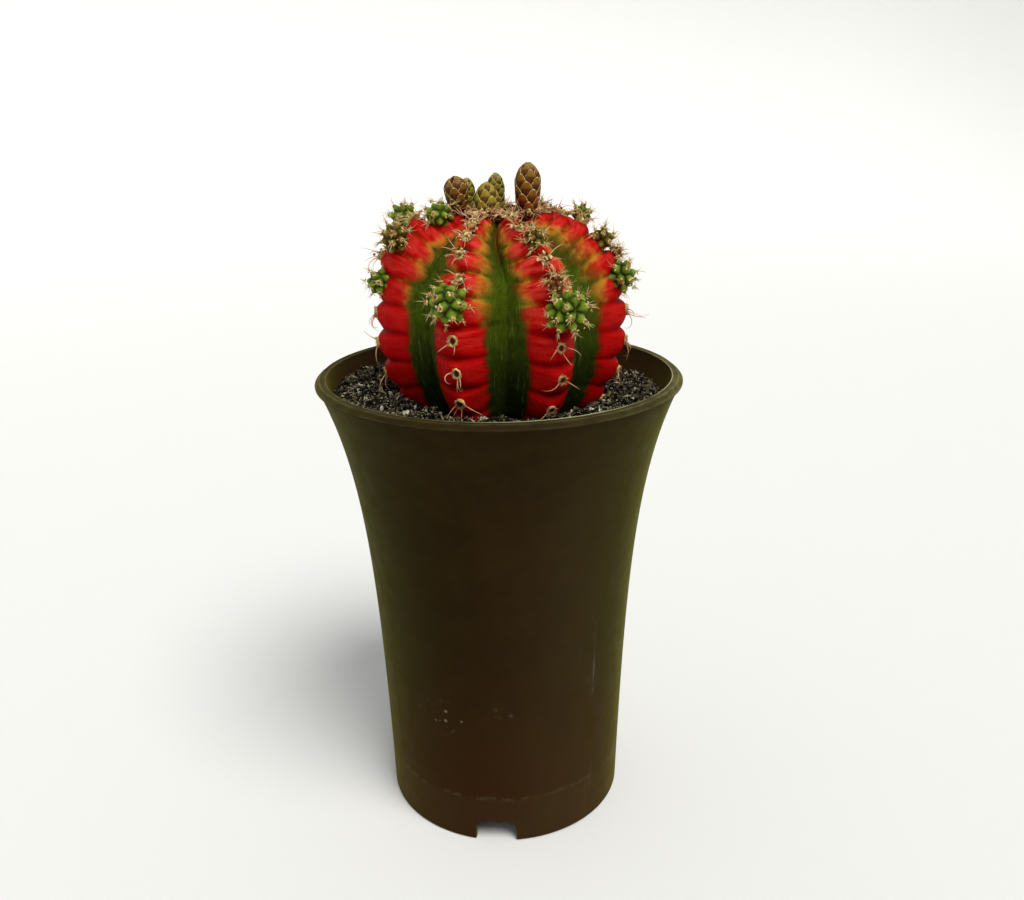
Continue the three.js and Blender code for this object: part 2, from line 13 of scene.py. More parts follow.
import bpy
import numpy as np
from mathutils import Matrix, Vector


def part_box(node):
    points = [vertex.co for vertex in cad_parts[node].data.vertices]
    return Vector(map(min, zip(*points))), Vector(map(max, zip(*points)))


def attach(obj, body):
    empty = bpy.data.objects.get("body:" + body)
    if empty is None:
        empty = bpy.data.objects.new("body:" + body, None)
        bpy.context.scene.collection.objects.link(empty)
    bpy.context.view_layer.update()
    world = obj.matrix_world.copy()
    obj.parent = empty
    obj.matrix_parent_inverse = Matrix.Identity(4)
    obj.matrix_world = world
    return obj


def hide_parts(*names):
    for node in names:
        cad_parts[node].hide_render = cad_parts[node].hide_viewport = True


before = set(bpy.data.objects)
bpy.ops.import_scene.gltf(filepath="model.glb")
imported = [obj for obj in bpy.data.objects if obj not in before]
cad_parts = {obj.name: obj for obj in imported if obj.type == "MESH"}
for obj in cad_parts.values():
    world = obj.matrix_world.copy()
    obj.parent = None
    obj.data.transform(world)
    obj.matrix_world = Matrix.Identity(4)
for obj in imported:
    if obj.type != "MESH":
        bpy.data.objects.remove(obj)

LOG = logging.getLogger("moon_cactus")
MM = 0.001
GOLDEN_ANGLE = math.pi * (3 - math.sqrt(5))
RIGHT, BACK, UP = np.eye(3)

Array = np.ndarray
Colour = tuple[float, float, float, float]
Material = bpy.types.Material
Node = bpy.types.Node
Given = bpy.types.NodeOutputs
Socket = bpy.types.NodeSocket
Sockets = dict[str | int, object]


class Slot(Enum):
    """The material slots, by name."""

    POT = "pot_plastic"
    GRIT = "grit"
    GLOBE = "globe_skin"
    OFFSET = "offset_skin"
    BUD = "bud_scales"
    WOOL = "wool"
    SPINES = "spines"


# ---- small sums ----


def paint(red: float, green: float, blue: float) -> Colour:
    """Turns a colour as a screen shows it into the linear one that a shader takes.

    Args:
        red, green, blue: The colour, each from 0 to 255.

    Returns:
        The linear colour, opaque.
    """
    share = np.array([red, green, blue]) / 255.0
    linear = np.where(share <= 0.04045, share / 12.92, ((share + 0.055) / 1.055) ** 2.4)
    return (*linear.tolist(), 1.0)


def smooth_step(value: Array | float, low: float, high: float) -> Array:
    """Goes smoothly from 0 where value is low to 1 where it is high."""
    share = np.clip((value - low) / (high - low), 0.0, 1.0)
    return share * share * (3.0 - 2.0 * share)


def bell(value: Array, middle: float, width: float) -> Array:
    """A bell curve: 1 at the middle, and 1 / e at a width from it."""
    return np.exp(-(((value - middle) / width) ** 2))


def blend(first: Array, second: Array, share: Array) -> Array:
    """The values a share of the way from first to second."""
    return first + (second - first) * share


def around(count: int, turn: float = 2 * math.pi) -> Array:
    """Even steps round a circle, without the last one, where it closes."""
    return np.linspace(0, turn, count, endpoint=False)


def towards(azimuth: Array | float) -> Array:
    """The horizontal directions at azimuths in degrees, with a last axis of x, y, z."""
    angle = np.radians(np.asarray(azimuth, float))
    return np.stack([np.sin(angle), -np.cos(angle), np.zeros_like(angle)], axis=-1)


def swung(angle: Array, first: Array, second: Array) -> Array:
    """The directions at an angle from first towards second, which are square to each other."""
    return np.cos(angle)[..., None] * first + np.sin(angle)[..., None] * second


def unit(vectors: Array) -> Array:
    """The vectors at length 1."""
    return vectors / np.maximum(np.linalg.norm(vectors, axis=-1, keepdims=True), 1e-9)


def across(vectors: Array, axis: Array) -> Array:
    """The directions nearest to the vectors that are square to the unit axis."""
    return unit(vectors - (vectors * axis).sum(-1, keepdims=True) * axis)


def ripple(points: Array, pitch: float, seed: int) -> Array:
    """A soft seamless unevenness in space: the mean of a few sine waves in seeded directions.

    Args:
        points: The places, with a last axis of x, y, z.
        pitch: The usual distance between two bumps, in millimetres.
        seed: Picks the waves.

    Returns:
        A value from about -1 to 1 at each place.
    """
    random = np.random.default_rng(seed)
    waves = random.normal(size=(7, 3)) * (2.2 / pitch)
    phases = random.uniform(0, 2 * math.pi, 7)
    return np.sin(points @ waves.T + phases).mean(-1) * 2.0


# ---- mesh making ----


@dataclass
class Shape:
    """A closed surface that is being put together.

    Attributes:
        points: Its points, in millimetres.
        faces: Four corner numbers a face. A triangle repeats its third corner.
        values: What each point carries for the materials, by name.
    """

    points: Array
    faces: Array
    values: dict[str, Array] = field(default_factory=dict)

    @staticmethod
    def joined(shapes: list["Shape"]) -> "Shape":
        """Joins shapes that carry the same values.

        Args:
            shapes: The shapes.

        Returns:
            All of them as one.
        """
        starts = np.cumsum([0] + [len(shape.points) for shape in shapes[:-1]])
        return Shape(
            np.concatenate([shape.points for shape in shapes]),
            np.concatenate([shape.faces + start for shape, start in zip(shapes, starts)]),
            {name: np.concatenate([s.values[name] for s in shapes]) for name in shapes[0].values},
        )


def ring_faces(rings: int, columns: int) -> Array:
    """The faces between rings of points that are listed ring by ring.

    Args:
        rings, columns: How many rings there are, and how many points in each.

    Returns:
        Four corner numbers a face, anticlockwise about the way the rings run.
    """
    here = np.arange(columns)
    after = (here + 1) % columns
    low = np.arange(rings - 1)[:, None] * columns
    corners = [low + here, low + after, low + after + columns, low + here + columns]
    return np.stack(corners, axis=-1).reshape(-1, 4)


def closed_strips(points: Array, values: dict[str, Array] | None = None) -> Shape:
    """Closed surfaces from grids of points: rows along, columns round, with a pole at both ends.

    Each first and last row becomes one point, at its mean. The columns turn anticlockwise about the way
    the rows run, which turns the faces outwards.

    Args:
        points: One grid a surface, with the axes surface, row, column and x, y, z. A single surface
            leaves out the first axis, here and in the values.
        values: Arrays that fit or broadcast to surface, row and column, and a fourth axis for a vector.

    Returns:
        All the surfaces as one shape.
    """
    values = values or {}
    if points.ndim == 3:
        points, values = points[None], {name: value[None] for name, value in values.items()}
    count, rows, columns, _ = points.shape
    size = (rows - 2) * columns + 2

    def flat(grid: Array) -> Array:
        """A grid as one list, with a single entry for each pole."""
        grid = np.broadcast_to(grid, (count, rows, columns, *grid.shape[3:]))
        ends = grid[:, [0, -1]].mean(axis=2)
        middle = grid[:, 1:-1].reshape(count, (rows - 2) * columns, *grid.shape[3:])
        listed = np.concatenate([ends[:, :1], middle, ends[:, 1:]], axis=1)
        return listed.reshape(count * size, *grid.shape[3:])

    here = np.arange(columns)
    after = (here + 1) % columns
    foot = np.stack([0 * here, 1 + after, 1 + here, 1 + here], axis=-1)
    last, pole = size - 1 - columns, 0 * here + size - 1
    tip = np.stack([last + here, last + after, pole, pole], axis=-1)
    one = np.concatenate([foot, 1 + ring_faces(rows - 2, columns), tip])
    faces = one[None] + (np.arange(count) * size)[:, None, None]
    return Shape(flat(points), faces.reshape(-1, 4), {name: flat(grid) for name, grid in values.items()})


@dataclass(frozen=True)
class Strands:
    """Tapered round strands, such as spines and hairs: each is a tube along a curved line.

    A line leaves its foot along aim and turns towards bend. The angle that it has turned through at a
    share t of its length is first * t + second * t * t, and the line is the running sum of that
    direction. Its radius falls with a power of what is left of the length.

    Attributes:
        steps: Rings along a strand.
        sides: Sides of a ring.
        taper: The power.
    """

    steps: int = 7
    sides: int = 4
    taper: float = 0.6

    def build(
        self, foot: Array, aim: Array, bend: Array,
        length: Array, radius: Array, first: Array, second: Array, shade: Array,
    ) -> Shape:
        """Makes the strands.

        Args:
            foot, aim, bend: Where each starts, the way it leaves, and the way it turns.
            length, radius: Its length and its radius at the foot.
            first, second: The terms of its turning, in radians.
            shade: A value from 0 to 1 that its material may use.

        Returns:
            One shape, with along from 0 at a foot to 1 at a tip, and shade.
        """
        bend = across(bend, unit(aim))[:, None]
        aim = unit(aim)[:, None]
        share = np.linspace(0, 1, self.steps)
        turned = first[:, None] * share + second[:, None] * share**2
        heading, normal = swung(turned, aim, bend), swung(turned, bend, -aim)
        step = (length / (self.steps - 1))[:, None, None]
        middle = (heading[:, 1:] + heading[:, :-1]) / 2 * step
        line = foot[:, None] + np.concatenate([0 * middle[:, :1], np.cumsum(middle, axis=1)], axis=1)
        side = np.cross(heading, normal)
        width = radius[:, None] * np.maximum(1 - share, 0) ** self.taper
        ring = swung(around(self.sides), normal[:, :, None], side[:, :, None])
        tube = line[:, :, None] + ring * width[:, :, None, None]
        start = np.repeat(line[:, :1, None], self.sides, axis=2)
        along = np.concatenate([[0.0], share])[None, :, None]
        values = {"along": along, "shade": shade[:, None, None]}
        return closed_strips(np.concatenate([start, tube], axis=1), values)

    def hairs(self, *measures: Array) -> Shape:
        """Makes the strands as part of the felt.

        Args:
            measures: What build takes.

        Returns:
            One shape, with core, which is 0, in place of along, and shade.
        """
        shape = self.build(*measures)
        shade = shape.values["shade"]
        return Shape(shape.points, shape.faces, {"core": 0 * shade, "shade": shade})


def link(name: str, data: bpy.types.ID) -> bpy.types.Object:
    """Makes an object in the scene.

    Args:
        name, data: Its name and what it shows.

    Returns:
        The object.
    """
    thing = bpy.data.objects.new(name, data)
    bpy.context.scene.collection.objects.link(thing)
    return thing


def make_piece(
    name: str, shape: Shape, material: Material, slot: Slot, replaced: list[str], smooth: bool = True
) -> bpy.types.Object:
    """Writes a shape as a Blender object in the frame.

    Args:
        name: The piece's name.
        shape: Its surface, in millimetres.
        material: Its finish.
        slot: A slot for that finish. It is not used.
        replaced: The CAD nodes that it stands for.
        smooth: Whether its faces are shaded smoothly.

    Returns:
        The object, at the origin, which moves with the part's one body.
    """
    mesh = bpy.data.meshes.new(name)
    triangle = shape.faces[:, 2] == shape.faces[:, 3]
    corners = np.concatenate([shape.faces[~triangle].ravel(), shape.faces[triangle][:, :3].ravel()])
    four, three = int((~triangle).sum()), int(triangle.sum())
    starts = np.concatenate([4 * np.arange(four), 4 * four + 3 * np.arange(three)])
    mesh.vertices.add(len(shape.points))
    mesh.vertices.foreach_set("co", (shape.points * MM).astype(np.float32).ravel())
    mesh.loops.add(len(corners))
    mesh.loops.foreach_set("vertex_index", corners.astype(np.int32))
    mesh.polygons.add(four + three)
    mesh.polygons.foreach_set("loop_start", starts.astype(np.int32))
    mesh.polygons.foreach_set("use_smooth", np.full(four + three, smooth))
    mesh.update(calc_edges=True)
    mesh.validate()
    for key, value in shape.values.items():
        vector = value.ndim == 2
        layer = mesh.attributes.new(key, "FLOAT_VECTOR" if vector else "FLOAT", "POINT")
        layer.data.foreach_set("vector" if vector else "value", value.astype(np.float32).ravel())
    mesh.materials.append(material)
    piece = link(name, mesh)
    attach(piece, "root")
    if replaced:
        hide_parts(*replaced)
    LOG.info("%s: %d faces", name, len(mesh.polygons))
    return piece


# ---- shader nodes ----


@dataclass
class Nodes:
    """Adds nodes to one tree and links them.

    Attributes:
        tree: The node tree.
    """

    tree: bpy.types.NodeTree

    def feed(self, node: Node, sockets: Sockets) -> None:
        """Links a node's inputs from other sockets, or sets them to plain values.

        Args:
            node: The node.
            sockets: What its inputs take, by name or number.
        """
        for name, value in sockets.items():
            if isinstance(value, Socket):
                self.tree.links.new(value, node.inputs[name])
            else:
                node.inputs[name].default_value = value

    def add(self, kind: str, sockets: Sockets | None = None, **settings: object) -> Node:
        """Adds one node.

        Args:
            kind: Its type.
            sockets: What its inputs take, by name or number.
            settings: Its properties.

        Returns:
            The node.
        """
        node = self.tree.nodes.new(kind)
        for name, value in settings.items():
            setattr(node, name, value)
        self.feed(node, sockets or {})
        return node

    def math(self, operation: str, first: object, second: object = 0.0) -> Socket:
        """One sum on two values."""
        return self.add("ShaderNodeMath", {0: first, 1: second}, operation=operation).outputs[0]

    def plus(self, first: object, second: object) -> Socket:
        """One value and another."""
        return self.math("ADD", first, second)

    def times(self, first: object, second: object) -> Socket:
        """One value times another."""
        return self.math("MULTIPLY", first, second)

    def swing(self, value: Socket, width: object) -> Socket:
        """A value from 0 to 1 as one that swings about 0 by half the width."""
        return self.times(self.math("SUBTRACT", value, 0.5), width)

    def value(self, name: str, output: str = "Fac") -> Socket:
        """What a piece's points carry under a name. A vector is the output Vector."""
        return self.add("ShaderNodeAttribute", attribute_name=name).outputs[output]

    def place(self) -> Socket:
        """The point's place on the piece, in metres."""
        return self.add("ShaderNodeTexCoord").outputs["Object"]

    def noise(
        self, vector: Socket, scale: float, detail: float = 3.0, roughness: float = 0.55,
        stretch: tuple[float, float, float] | None = None,
    ) -> Socket:
        """Cloudy noise.

        Args:
            vector: Where it is read.
            scale, detail, roughness: The Noise Texture's own.
            stretch: What the vector's axes are multiplied by first.

        Returns:
            A value that is mostly from 0.3 to 0.7.
        """
        if stretch:
            vector = self.add("ShaderNodeMapping", {"Vector": vector, "Scale": stretch}).outputs["Vector"]
        sockets = {"Vector": vector, "Scale": scale, "Detail": detail, "Roughness": roughness}
        return self.add("ShaderNodeTexNoise", sockets).outputs["Fac"]

    def cells(self, vector: Socket, scale: float) -> Node:
        """A Voronoi node, whose cells are scattered points' neighbourhoods."""
        return self.add("ShaderNodeTexVoronoi", {"Vector": vector, "Scale": scale})

    def remap(self, value: Socket, low: object, high: object, start: float = 0.0, end: float = 1.0) -> Socket:
        """Goes smoothly from start where value is low to end where it is high."""
        sockets = {"Value": value, "From Min": low, "From Max": high, "To Min": start, "To Max": end}
        return self.add("ShaderNodeMapRange", sockets, interpolation_type="SMOOTHSTEP").outputs["Result"]

    def mix(self, share: Socket, first: object, second: object) -> Socket:
        """The colour a share of the way from first to second."""
        return self.add("ShaderNodeMix", {0: share, 6: first, 7: second}, data_type="RGBA").outputs[2]

    def layers(self, colour: object, *coats: tuple[Socket, object]) -> Socket:
        """A colour under coats of paint.

        Args:
            colour: The lowest colour.
            coats: Each coat's share and its colour, from the lowest up.

        Returns:
            The colour that shows.
        """
        for share, coat in coats:
            colour = self.mix(share, colour, coat)
        return colour

    def bump(self, height: Socket, strength: float, depth: float) -> Socket:
        """A normal that shows a height, with the height's depth in millimetres."""
        sockets = {"Strength": strength, "Distance": depth * MM, "Height": height}
        return self.add("ShaderNodeBump", sockets).outputs["Normal"]

    def group(self, group: "ShaderGroup", **inputs: object) -> Node:
        """Places a node group with its own values."""
        sockets = {name.capitalize(): value for name, value in inputs.items()}
        return self.add("ShaderNodeGroup", sockets, node_tree=group.tree)

    def mottled(self, colour: object, second: Colour, scale: float, amount: float) -> tuple[Socket, Socket]:
        """A colour mottled with a second one.

        Args:
            colour, second: The two.
            scale, amount: How fine the mottling is, and how strong.

        Returns:
            The mottled colour, and the height that goes with it.
        """
        inputs = {"scale": scale, "amount": amount, "colour": colour, "second": second}
        coat = self.group(MOTTLE, vector=self.place(), **inputs)
        return coat.outputs["Colour"], coat.outputs["Height"]


@dataclass
class ShaderGroup:
    """A node group with named sockets, built once.

    Attributes:
        name: Its name.
        inputs: Each input's name, and its usual value. A vector has none, and a colour has four parts.
        outputs: Each output's name and socket type.
    """

    name: str
    inputs: dict[str, object]
    outputs: dict[str, str]

    @cached_property
    def tree(self) -> bpy.types.NodeTree:
        """The group's node tree, with its sockets made and what is inside it built."""
        tree = bpy.data.node_groups.new(self.name, "ShaderNodeTree")
        for name, usual in self.inputs.items():
            kind = VECTOR if usual is None else COLOUR if isinstance(usual, tuple) else FLOAT
            socket = tree.interface.new_socket(name, in_out="INPUT", socket_type=kind)
            if usual is not None:
                socket.default_value = usual
        for name, kind in self.outputs.items():
            tree.interface.new_socket(name, in_out="OUTPUT", socket_type=kind)
        nodes = Nodes(tree)
        source, target = nodes.add("NodeGroupInput"), nodes.add("NodeGroupOutput")
        nodes.feed(target, self.inside(nodes, source.outputs))
        return tree

    def scaled(self, nodes: Nodes, given: Given) -> Socket:
        """The group's Vector times its Scale."""
        sockets = {0: given["Vector"], "Scale": given["Scale"]}
        return nodes.add("ShaderNodeVectorMath", sockets, operation="SCALE").outputs[0]

    def inside(self, nodes: Nodes, given: Given) -> dict[str, Socket]:
        """Builds the group's nodes and returns what each output takes."""
        raise NotImplementedError


class Mottle(ShaderGroup):
    """Uneven colour as living skin and old plastic have: two tones mixed by broad and fine noise."""

    def inside(self, nodes: Nodes, given: Given) -> dict[str, Socket]:
        """Two noises, the finer four times as fine, and the colour that they mix."""
        vector = self.scaled(nodes, given)
        broad, fine = nodes.noise(vector, 1.0, 4.0), nodes.noise(vector, 4.3, 3.0)
        both = nodes.plus(nodes.times(broad, 0.6), nodes.times(fine, 0.4))
        amount = nodes.times(nodes.remap(both, 0.36, 0.64), given["Amount"])
        return {"Colour": nodes.mix(amount, given["Colour"], given["Second"]), "Height": both}


class Specks(ShaderGroup):
    """Scattered small specks, such as mineral dust: dots round seeded points, thinned out by noise."""

    def inside(self, nodes: Nodes, given: Given) -> dict[str, Socket]:
        """A mask that is 1 within a dot, in the patches that noise leaves."""
        vector = self.scaled(nodes, given)
        dots = nodes.cells(vector, 1.0)
        size = nodes.times(dots.outputs["Color"], given["Size"])
        dot = nodes.remap(dots.outputs["Distance"], size, nodes.times(size, 0.4))
        patches = nodes.noise(vector, 0.13, 2.0)
        keep = nodes.remap(patches, given["Rarity"], nodes.plus(given["Rarity"], 0.06))
        return {"Mask": nodes.times(dot, keep)}


FLOAT, VECTOR, COLOUR = "NodeSocketFloat", "NodeSocketVector", "NodeSocketColor"
GREY, DARK_GREY = (0.5, 0.5, 0.5, 1.0), (0.3, 0.3, 0.3, 1.0)
MOTTLE = Mottle(
    "mottle",
    {"Vector": None, "Scale": 1.0, "Amount": 1.0, "Colour": GREY, "Second": DARK_GREY},
    {"Colour": COLOUR, "Height": FLOAT},
)
SPECKS = Specks("specks", {"Vector": None, "Scale": 1.0, "Size": 0.3, "Rarity": 0.5}, {"Mask": FLOAT})


@dataclass(frozen=True)
class Finish:
    """What every finish has: a name and how glossy it is.

    Attributes:
        name: The material's name.
        roughness: The Principled shader's roughness.
        specular: Its specular level.
    """

    name: str
    roughness: float = 0.5
    specular: float = 0.5

    def material(self) -> Material:
        """Makes the material, with what the finish paints on its shader."""
        material = bpy.data.materials.new(self.name)
        material.use_nodes = True
        nodes = Nodes(material.node_tree)
        shader = material.node_tree.nodes["Principled BSDF"]
        plain = {"Roughness": self.roughness, "Specular IOR Level": self.specular}
        nodes.feed(shader, plain | self.dress(nodes))
        return material

    def dress(self, nodes: Nodes) -> Sockets:
        """Builds what the finish paints, and returns what each of the shader's sockets takes."""
        raise NotImplementedError


# ---- pot ----


@dataclass(frozen=True)
class PotPlastic(Finish):
    """Near-black warm brown moulded plastic, satin, with a paler lip, a scuffed foot and a few marks, and
    with painted light: reflections on its flanks and lip, highlights on its right side and lip edge.

    Attributes:
        body, mottled, olive, warm, inner, lip, pale, scuff, dust, sheen: Its colours. Olive is a painted
        reflection on its flanks, warm that of its lower part, and inner a paler copy of the body that
        paints light on its inside. Lip is the lip's colour, which shows most where a painted reflection
        falls on the right and left, and pale a painted highlight along the lip's outer edge. The scuffs'
        colour also paints a highlight on the right side.
        scuff_height: Height of the ring where the pot has rubbed, in millimetres.
    """

    body: Colour = paint(33, 20, 4)
    mottled: Colour = paint(42, 29, 8)
    olive: Colour = paint(40, 37, 6)
    warm: Colour = paint(50, 23, 6)
    # inner: a paler copy of the body, which paints light on the pot's inside wall
    inner: Colour = paint(58, 40, 22)
    lip: Colour = paint(104, 100, 66)
    pale: Colour = paint(186, 184, 142)
    # the scuffs' colour, which also paints a highlight on the pot's right side
    scuff_and_highlight: Colour = paint(66, 54, 34)
    dust: Colour = paint(150, 146, 128)
    sheen: Colour = paint(170, 166, 16)
    scuff_height: float = 12.4

    def dress(self, nodes: Nodes) -> Sockets:
        """Mottled body, lip by its own mask, a wavering scuff line, streaks and specks, and painted light: a
        painted reflection on the flanks and lip, painted highlights on the right side and lip edge, and a
        paler inside.
        """
        place, outside, lip = nodes.place(), nodes.value("outside"), nodes.value("lip")
        height = nodes.add("ShaderNodeSeparateXYZ", {0: place}).outputs["Z"]
        low = nodes.remap(height, 0.06, 0.006, 0.0, 0.7)
        colour, _ = nodes.mottled(self.body, self.mottled, 55.0, 0.8)
        # olive: a painted reflection on the pot's flanks, strongest towards the left and right
        flank = nodes.times(nodes.value("olive"), 0.8)
        colour = nodes.layers(colour, (flank, self.olive), (low, self.warm))

        level = nodes.plus(nodes.times(height, 1 / MM), nodes.swing(nodes.noise(place, 160.0, 4.0), 2.6))
        gap = nodes.math("ABSOLUTE", nodes.math("SUBTRACT", level, self.scuff_height))
        patchy = nodes.remap(nodes.noise(place, 420.0, 5.0, 0.7), 0.42, 0.6)
        line = nodes.times(nodes.remap(gap, 0.75, 0.1), patchy)
        below = nodes.remap(level, self.scuff_height, self.scuff_height - 0.5, 0.0, 0.16)
        wear_and_reflection = nodes.times(nodes.plus(nodes.times(line, 0.8), below), outside)
        streaks = nodes.noise(place, 420.0, 5.0, 0.75, stretch=(1.0, 1.0, 0.07))
        streak = nodes.times(nodes.remap(streaks, 0.56, 0.7, 0.0, 0.7), nodes.value("rubbed"))
        marks = nodes.group(SPECKS, vector=place, scale=560.0, size=0.5, rarity=0.4)
        mark = nodes.times(marks.outputs["Mask"], nodes.value("chipped"))
        brushed = nodes.noise(place, 260.0, 3.0, stretch=(1.0, 1.0, 5.0))
        lip_colour = nodes.mix(nodes.remap(brushed, 0.42, 0.62, 0.0, 0.5), self.lip, self.body)
        colour = nodes.layers(
            # the inside wall: paler than the body, as painted light
            self.inner,
            (outside, colour),
            (wear_and_reflection, self.scuff_and_highlight),
            # painted highlight on the pot's right side, in the scuffs' colour
            (nodes.times(nodes.value("painted_highlight"), 0.26), self.scuff_and_highlight),
            (streak, self.dust),
            (mark, self.dust),
            # lip colour where the painted reflection falls, then pale as a painted highlight on the outer
            # edge
            (nodes.remap(lip, 0.1, 0.6), lip_colour),
            (nodes.remap(lip, 0.72, 1.0), self.pale),
        )
        grain = nodes.plus(nodes.times(nodes.noise(place, 2600.0, 2.0), 0.4), nodes.noise(place, 300.0, 3.0))
        return {
            "Base Color": colour,
            "Roughness": nodes.remap(nodes.noise(place, 240.0, 4.0), 0.3, 0.7, 0.56, 0.72),
            "Normal": nodes.bump(grain, 0.35, 0.08),
            "Sheen Weight": 0.31,
            "Sheen Roughness": 0.36,
            "Sheen Tint": self.sheen,
        }


@dataclass
class PotShell:
    """The pot: a shell turned round Z, with three notches in its foot and drain holes in its floor.

    Attributes:
        height: Height of the rim.
        foot_radius, taper, flare, flare_length: The outer radius at a height z is
            foot_radius + taper * z + flare * exp((z - height) / flare_length).
        wall: The wall's thickness.
        lip_width, lip_depth: The lip's whole width, and its depth inside.
        bevel, bevel_drop: The width of the bevel outside the lip's flat ring, and its fall.
        floor, floor_thickness: The depth of the hollow under the floor, and the floor's thickness.
        floor_ring: The radius of a ring of points on the floor.
        notches, notch_azimuth, notch_width, notch_height, notch_corner: The notches in the foot.
        drains: Each drain hole's azimuth, distance from the middle and radius.
        columns: Even columns round the pot.
        sharp_angle: The angle in degrees from which an edge stays sharp.
    """

    height: float
    foot_radius: float = 29.2
    taper: float = 0.02
    flare: float = 11.1
    flare_length: float = 25.4
    wall: float = 1.4
    lip_width: float = 2.6
    lip_depth: float = 4.0
    bevel: float = 1.2
    bevel_drop: float = 1.1
    floor: float = 8.0
    floor_thickness: float = 1.6
    floor_ring: float = 14.0
    notches: int = 3
    notch_azimuth: float = -5.0
    notch_width: float = 10.0
    notch_height: float = 5.5
    notch_corner: float = 3.0
    drains: tuple = ((0.0, 0.0, 4.0), *((60.0 * i, 17.0, 2.6) for i in range(6)))
    columns: int = 264
    sharp_angle: float = 38.0

    def outer(self, height: Array | float) -> Array:
        """The outer radius at a height."""
        height = np.asarray(height, float)
        flare = self.flare * np.exp((height - self.height) / self.flare_length)
        return self.foot_radius + self.taper * height + flare

    def inner(self, height: Array | float) -> Array:
        """The inner radius at a height, a wall's thickness in from the outside."""
        slope = self.taper + (self.outer(height) - self.foot_radius) / self.flare_length
        return self.outer(height) - self.wall * np.hypot(1, slope)

    def foot_edge(self, azimuth: Array) -> Array:
        """How high the foot's edge stands: 0, or a rounded arch over a notch.

        Args:
            azimuth: Azimuths round the pot.

        Returns:
            The height at each.
        """
        turn = 360.0 / self.notches
        off = (azimuth - self.notch_azimuth + turn / 2) % turn - turn / 2
        beside = np.abs(np.radians(off)) * self.foot_radius
        half = self.notch_width / 2
        into = np.clip(beside - (half - self.notch_corner), 0, self.notch_corner)
        drop = self.notch_corner - np.sqrt(self.notch_corner**2 - into**2)
        return np.where(beside <= half, self.notch_height - drop, 0.0)

    def azimuths(self) -> Array:
        """Even columns round the pot, and closer ones along each notch's sides and corners."""
        inwards = np.array([0.02, 0.0, -0.06, -0.25, -0.6, -1.1, -1.7, -2.4, -3.0])
        steps = self.notch_width / 2 + inwards
        steps = np.degrees(np.concatenate([steps, -steps]) / self.foot_radius)
        starts = self.notch_azimuth + np.arange(self.notches) * 360.0 / self.notches
        close = (starts[:, None] + steps).ravel() % 360
        return np.unique(np.concatenate([around(self.columns, 360), close]))

    def section(self) -> Array:
        """The half section as rows of radius, height, how much of it is lip, and how much is outside.

        It runs from the middle of the floor's underside to the foot, up the outside, over the lip with
        its rounded edges, and down the inside to the middle of the floor's top. The rows below the
        floor's height are moved up over the notches later.
        """

        def rows(radius: Array, height: Array, lip: Array = 0.0, outside: float = 0.0) -> Array:
            """Rows from numbers or lists of them."""
            return np.stack(np.broadcast_arrays(radius, height, lip, outside), axis=-1).reshape(-1, 4)

        inner, outer, top = self.inner, self.outer, self.height
        edge, under, floor_top = outer(top), top - self.bevel_drop, self.floor + self.floor_thickness
        bevel_top, lip_inner, lip_foot = edge - self.bevel, edge - self.lip_width, top - self.lip_depth
        hollow = np.array([self.floor - 0.6, 6.2, 4.0, 2.0, 0.5])
        up = np.concatenate([[1.0, 2.4, 4.0, 5.6, 7.2], np.linspace(8.6, under - 0.5, 64)])
        down = np.concatenate([np.linspace(lip_foot, 92, 12), np.linspace(86, 16, 12)])
        share = np.concatenate([[0.0, 0.09, 0.16], np.linspace(0.25, 0.8, 6), [0.86, 0.92, 1.0]])
        dip = 0.16 * np.sin(math.pi * share) ** 0.6
        ring = bevel_top - (self.lip_width - self.bevel) * share * 0.94
        outer_corner, rise = np.array([[0.06, 0.02, 0.14, 0.34], [-0.3, 0.0, 0.2, 0.4]])
        top_corner, drop = np.array([[0.4, 0.2, 0.08], [0.4, 0.2, 0.07]])
        parts = [
            rows([0.0, self.floor_ring, inner(self.floor) - 0.6], self.floor),
            rows(inner(hollow), hollow),
            rows([inner(0) + 0.3, outer(0) - 0.3], 0.0),
            rows(outer(0), 0.3, 0, 1),
            rows(outer(up), up, 0, 1),
            rows(edge - outer_corner, under + rise, [0, 0.55, 0.45, 0.4], 1),
            rows(bevel_top + top_corner, top - drop, [0.4, 0.5, 0.8], 1),
            rows(ring, top - dip, np.where(share > 0.9, 1.0, 0.42), 1),
            rows(lip_inner + np.array([0.02, 0, 0]), top - np.array([0.1, 0.35, 0.8]), [0.8, 0.2, 0]),
            rows(blend(lip_inner, inner(lip_foot), 0.5), top - 2.4),
            rows(inner(down), down),
            rows(inner(floor_top) - np.array([0, 0.8]), floor_top + np.array([0.8, 0])),
            rows([self.floor_ring, 0.0], floor_top),
        ]
        return np.concatenate(parts)

    def shape(self) -> Shape:
        """The shell's surface: the section turned round Z, with the foot's edge raised over notches.

        A row at height z below the floor's level moves to edge + (floor - edge) * z / floor, so the
        rows crowd together over a notch. The first and last rows lie on the axis. Its values are masks:
        bells round the azimuths and heights where it is rubbed or chipped, a painted highlight on its right
        side, a painted reflection on its flanks, and the lip's share, raised as a painted reflection on the
        right and left, with a painted highlight along its outer edge that is strongest at the front right.
        """
        azimuth = self.azimuths()
        side = (azimuth + 180) % 360 - 180
        radius, height, lip, outside = self.section().T[..., None]
        edge = self.foot_edge(azimuth)
        share = np.clip(height / self.floor, 0, 1)
        points = radius[..., None] * towards(azimuth)
        points[..., 2] += np.where(share < 1, edge + (self.floor - edge) * share, height)
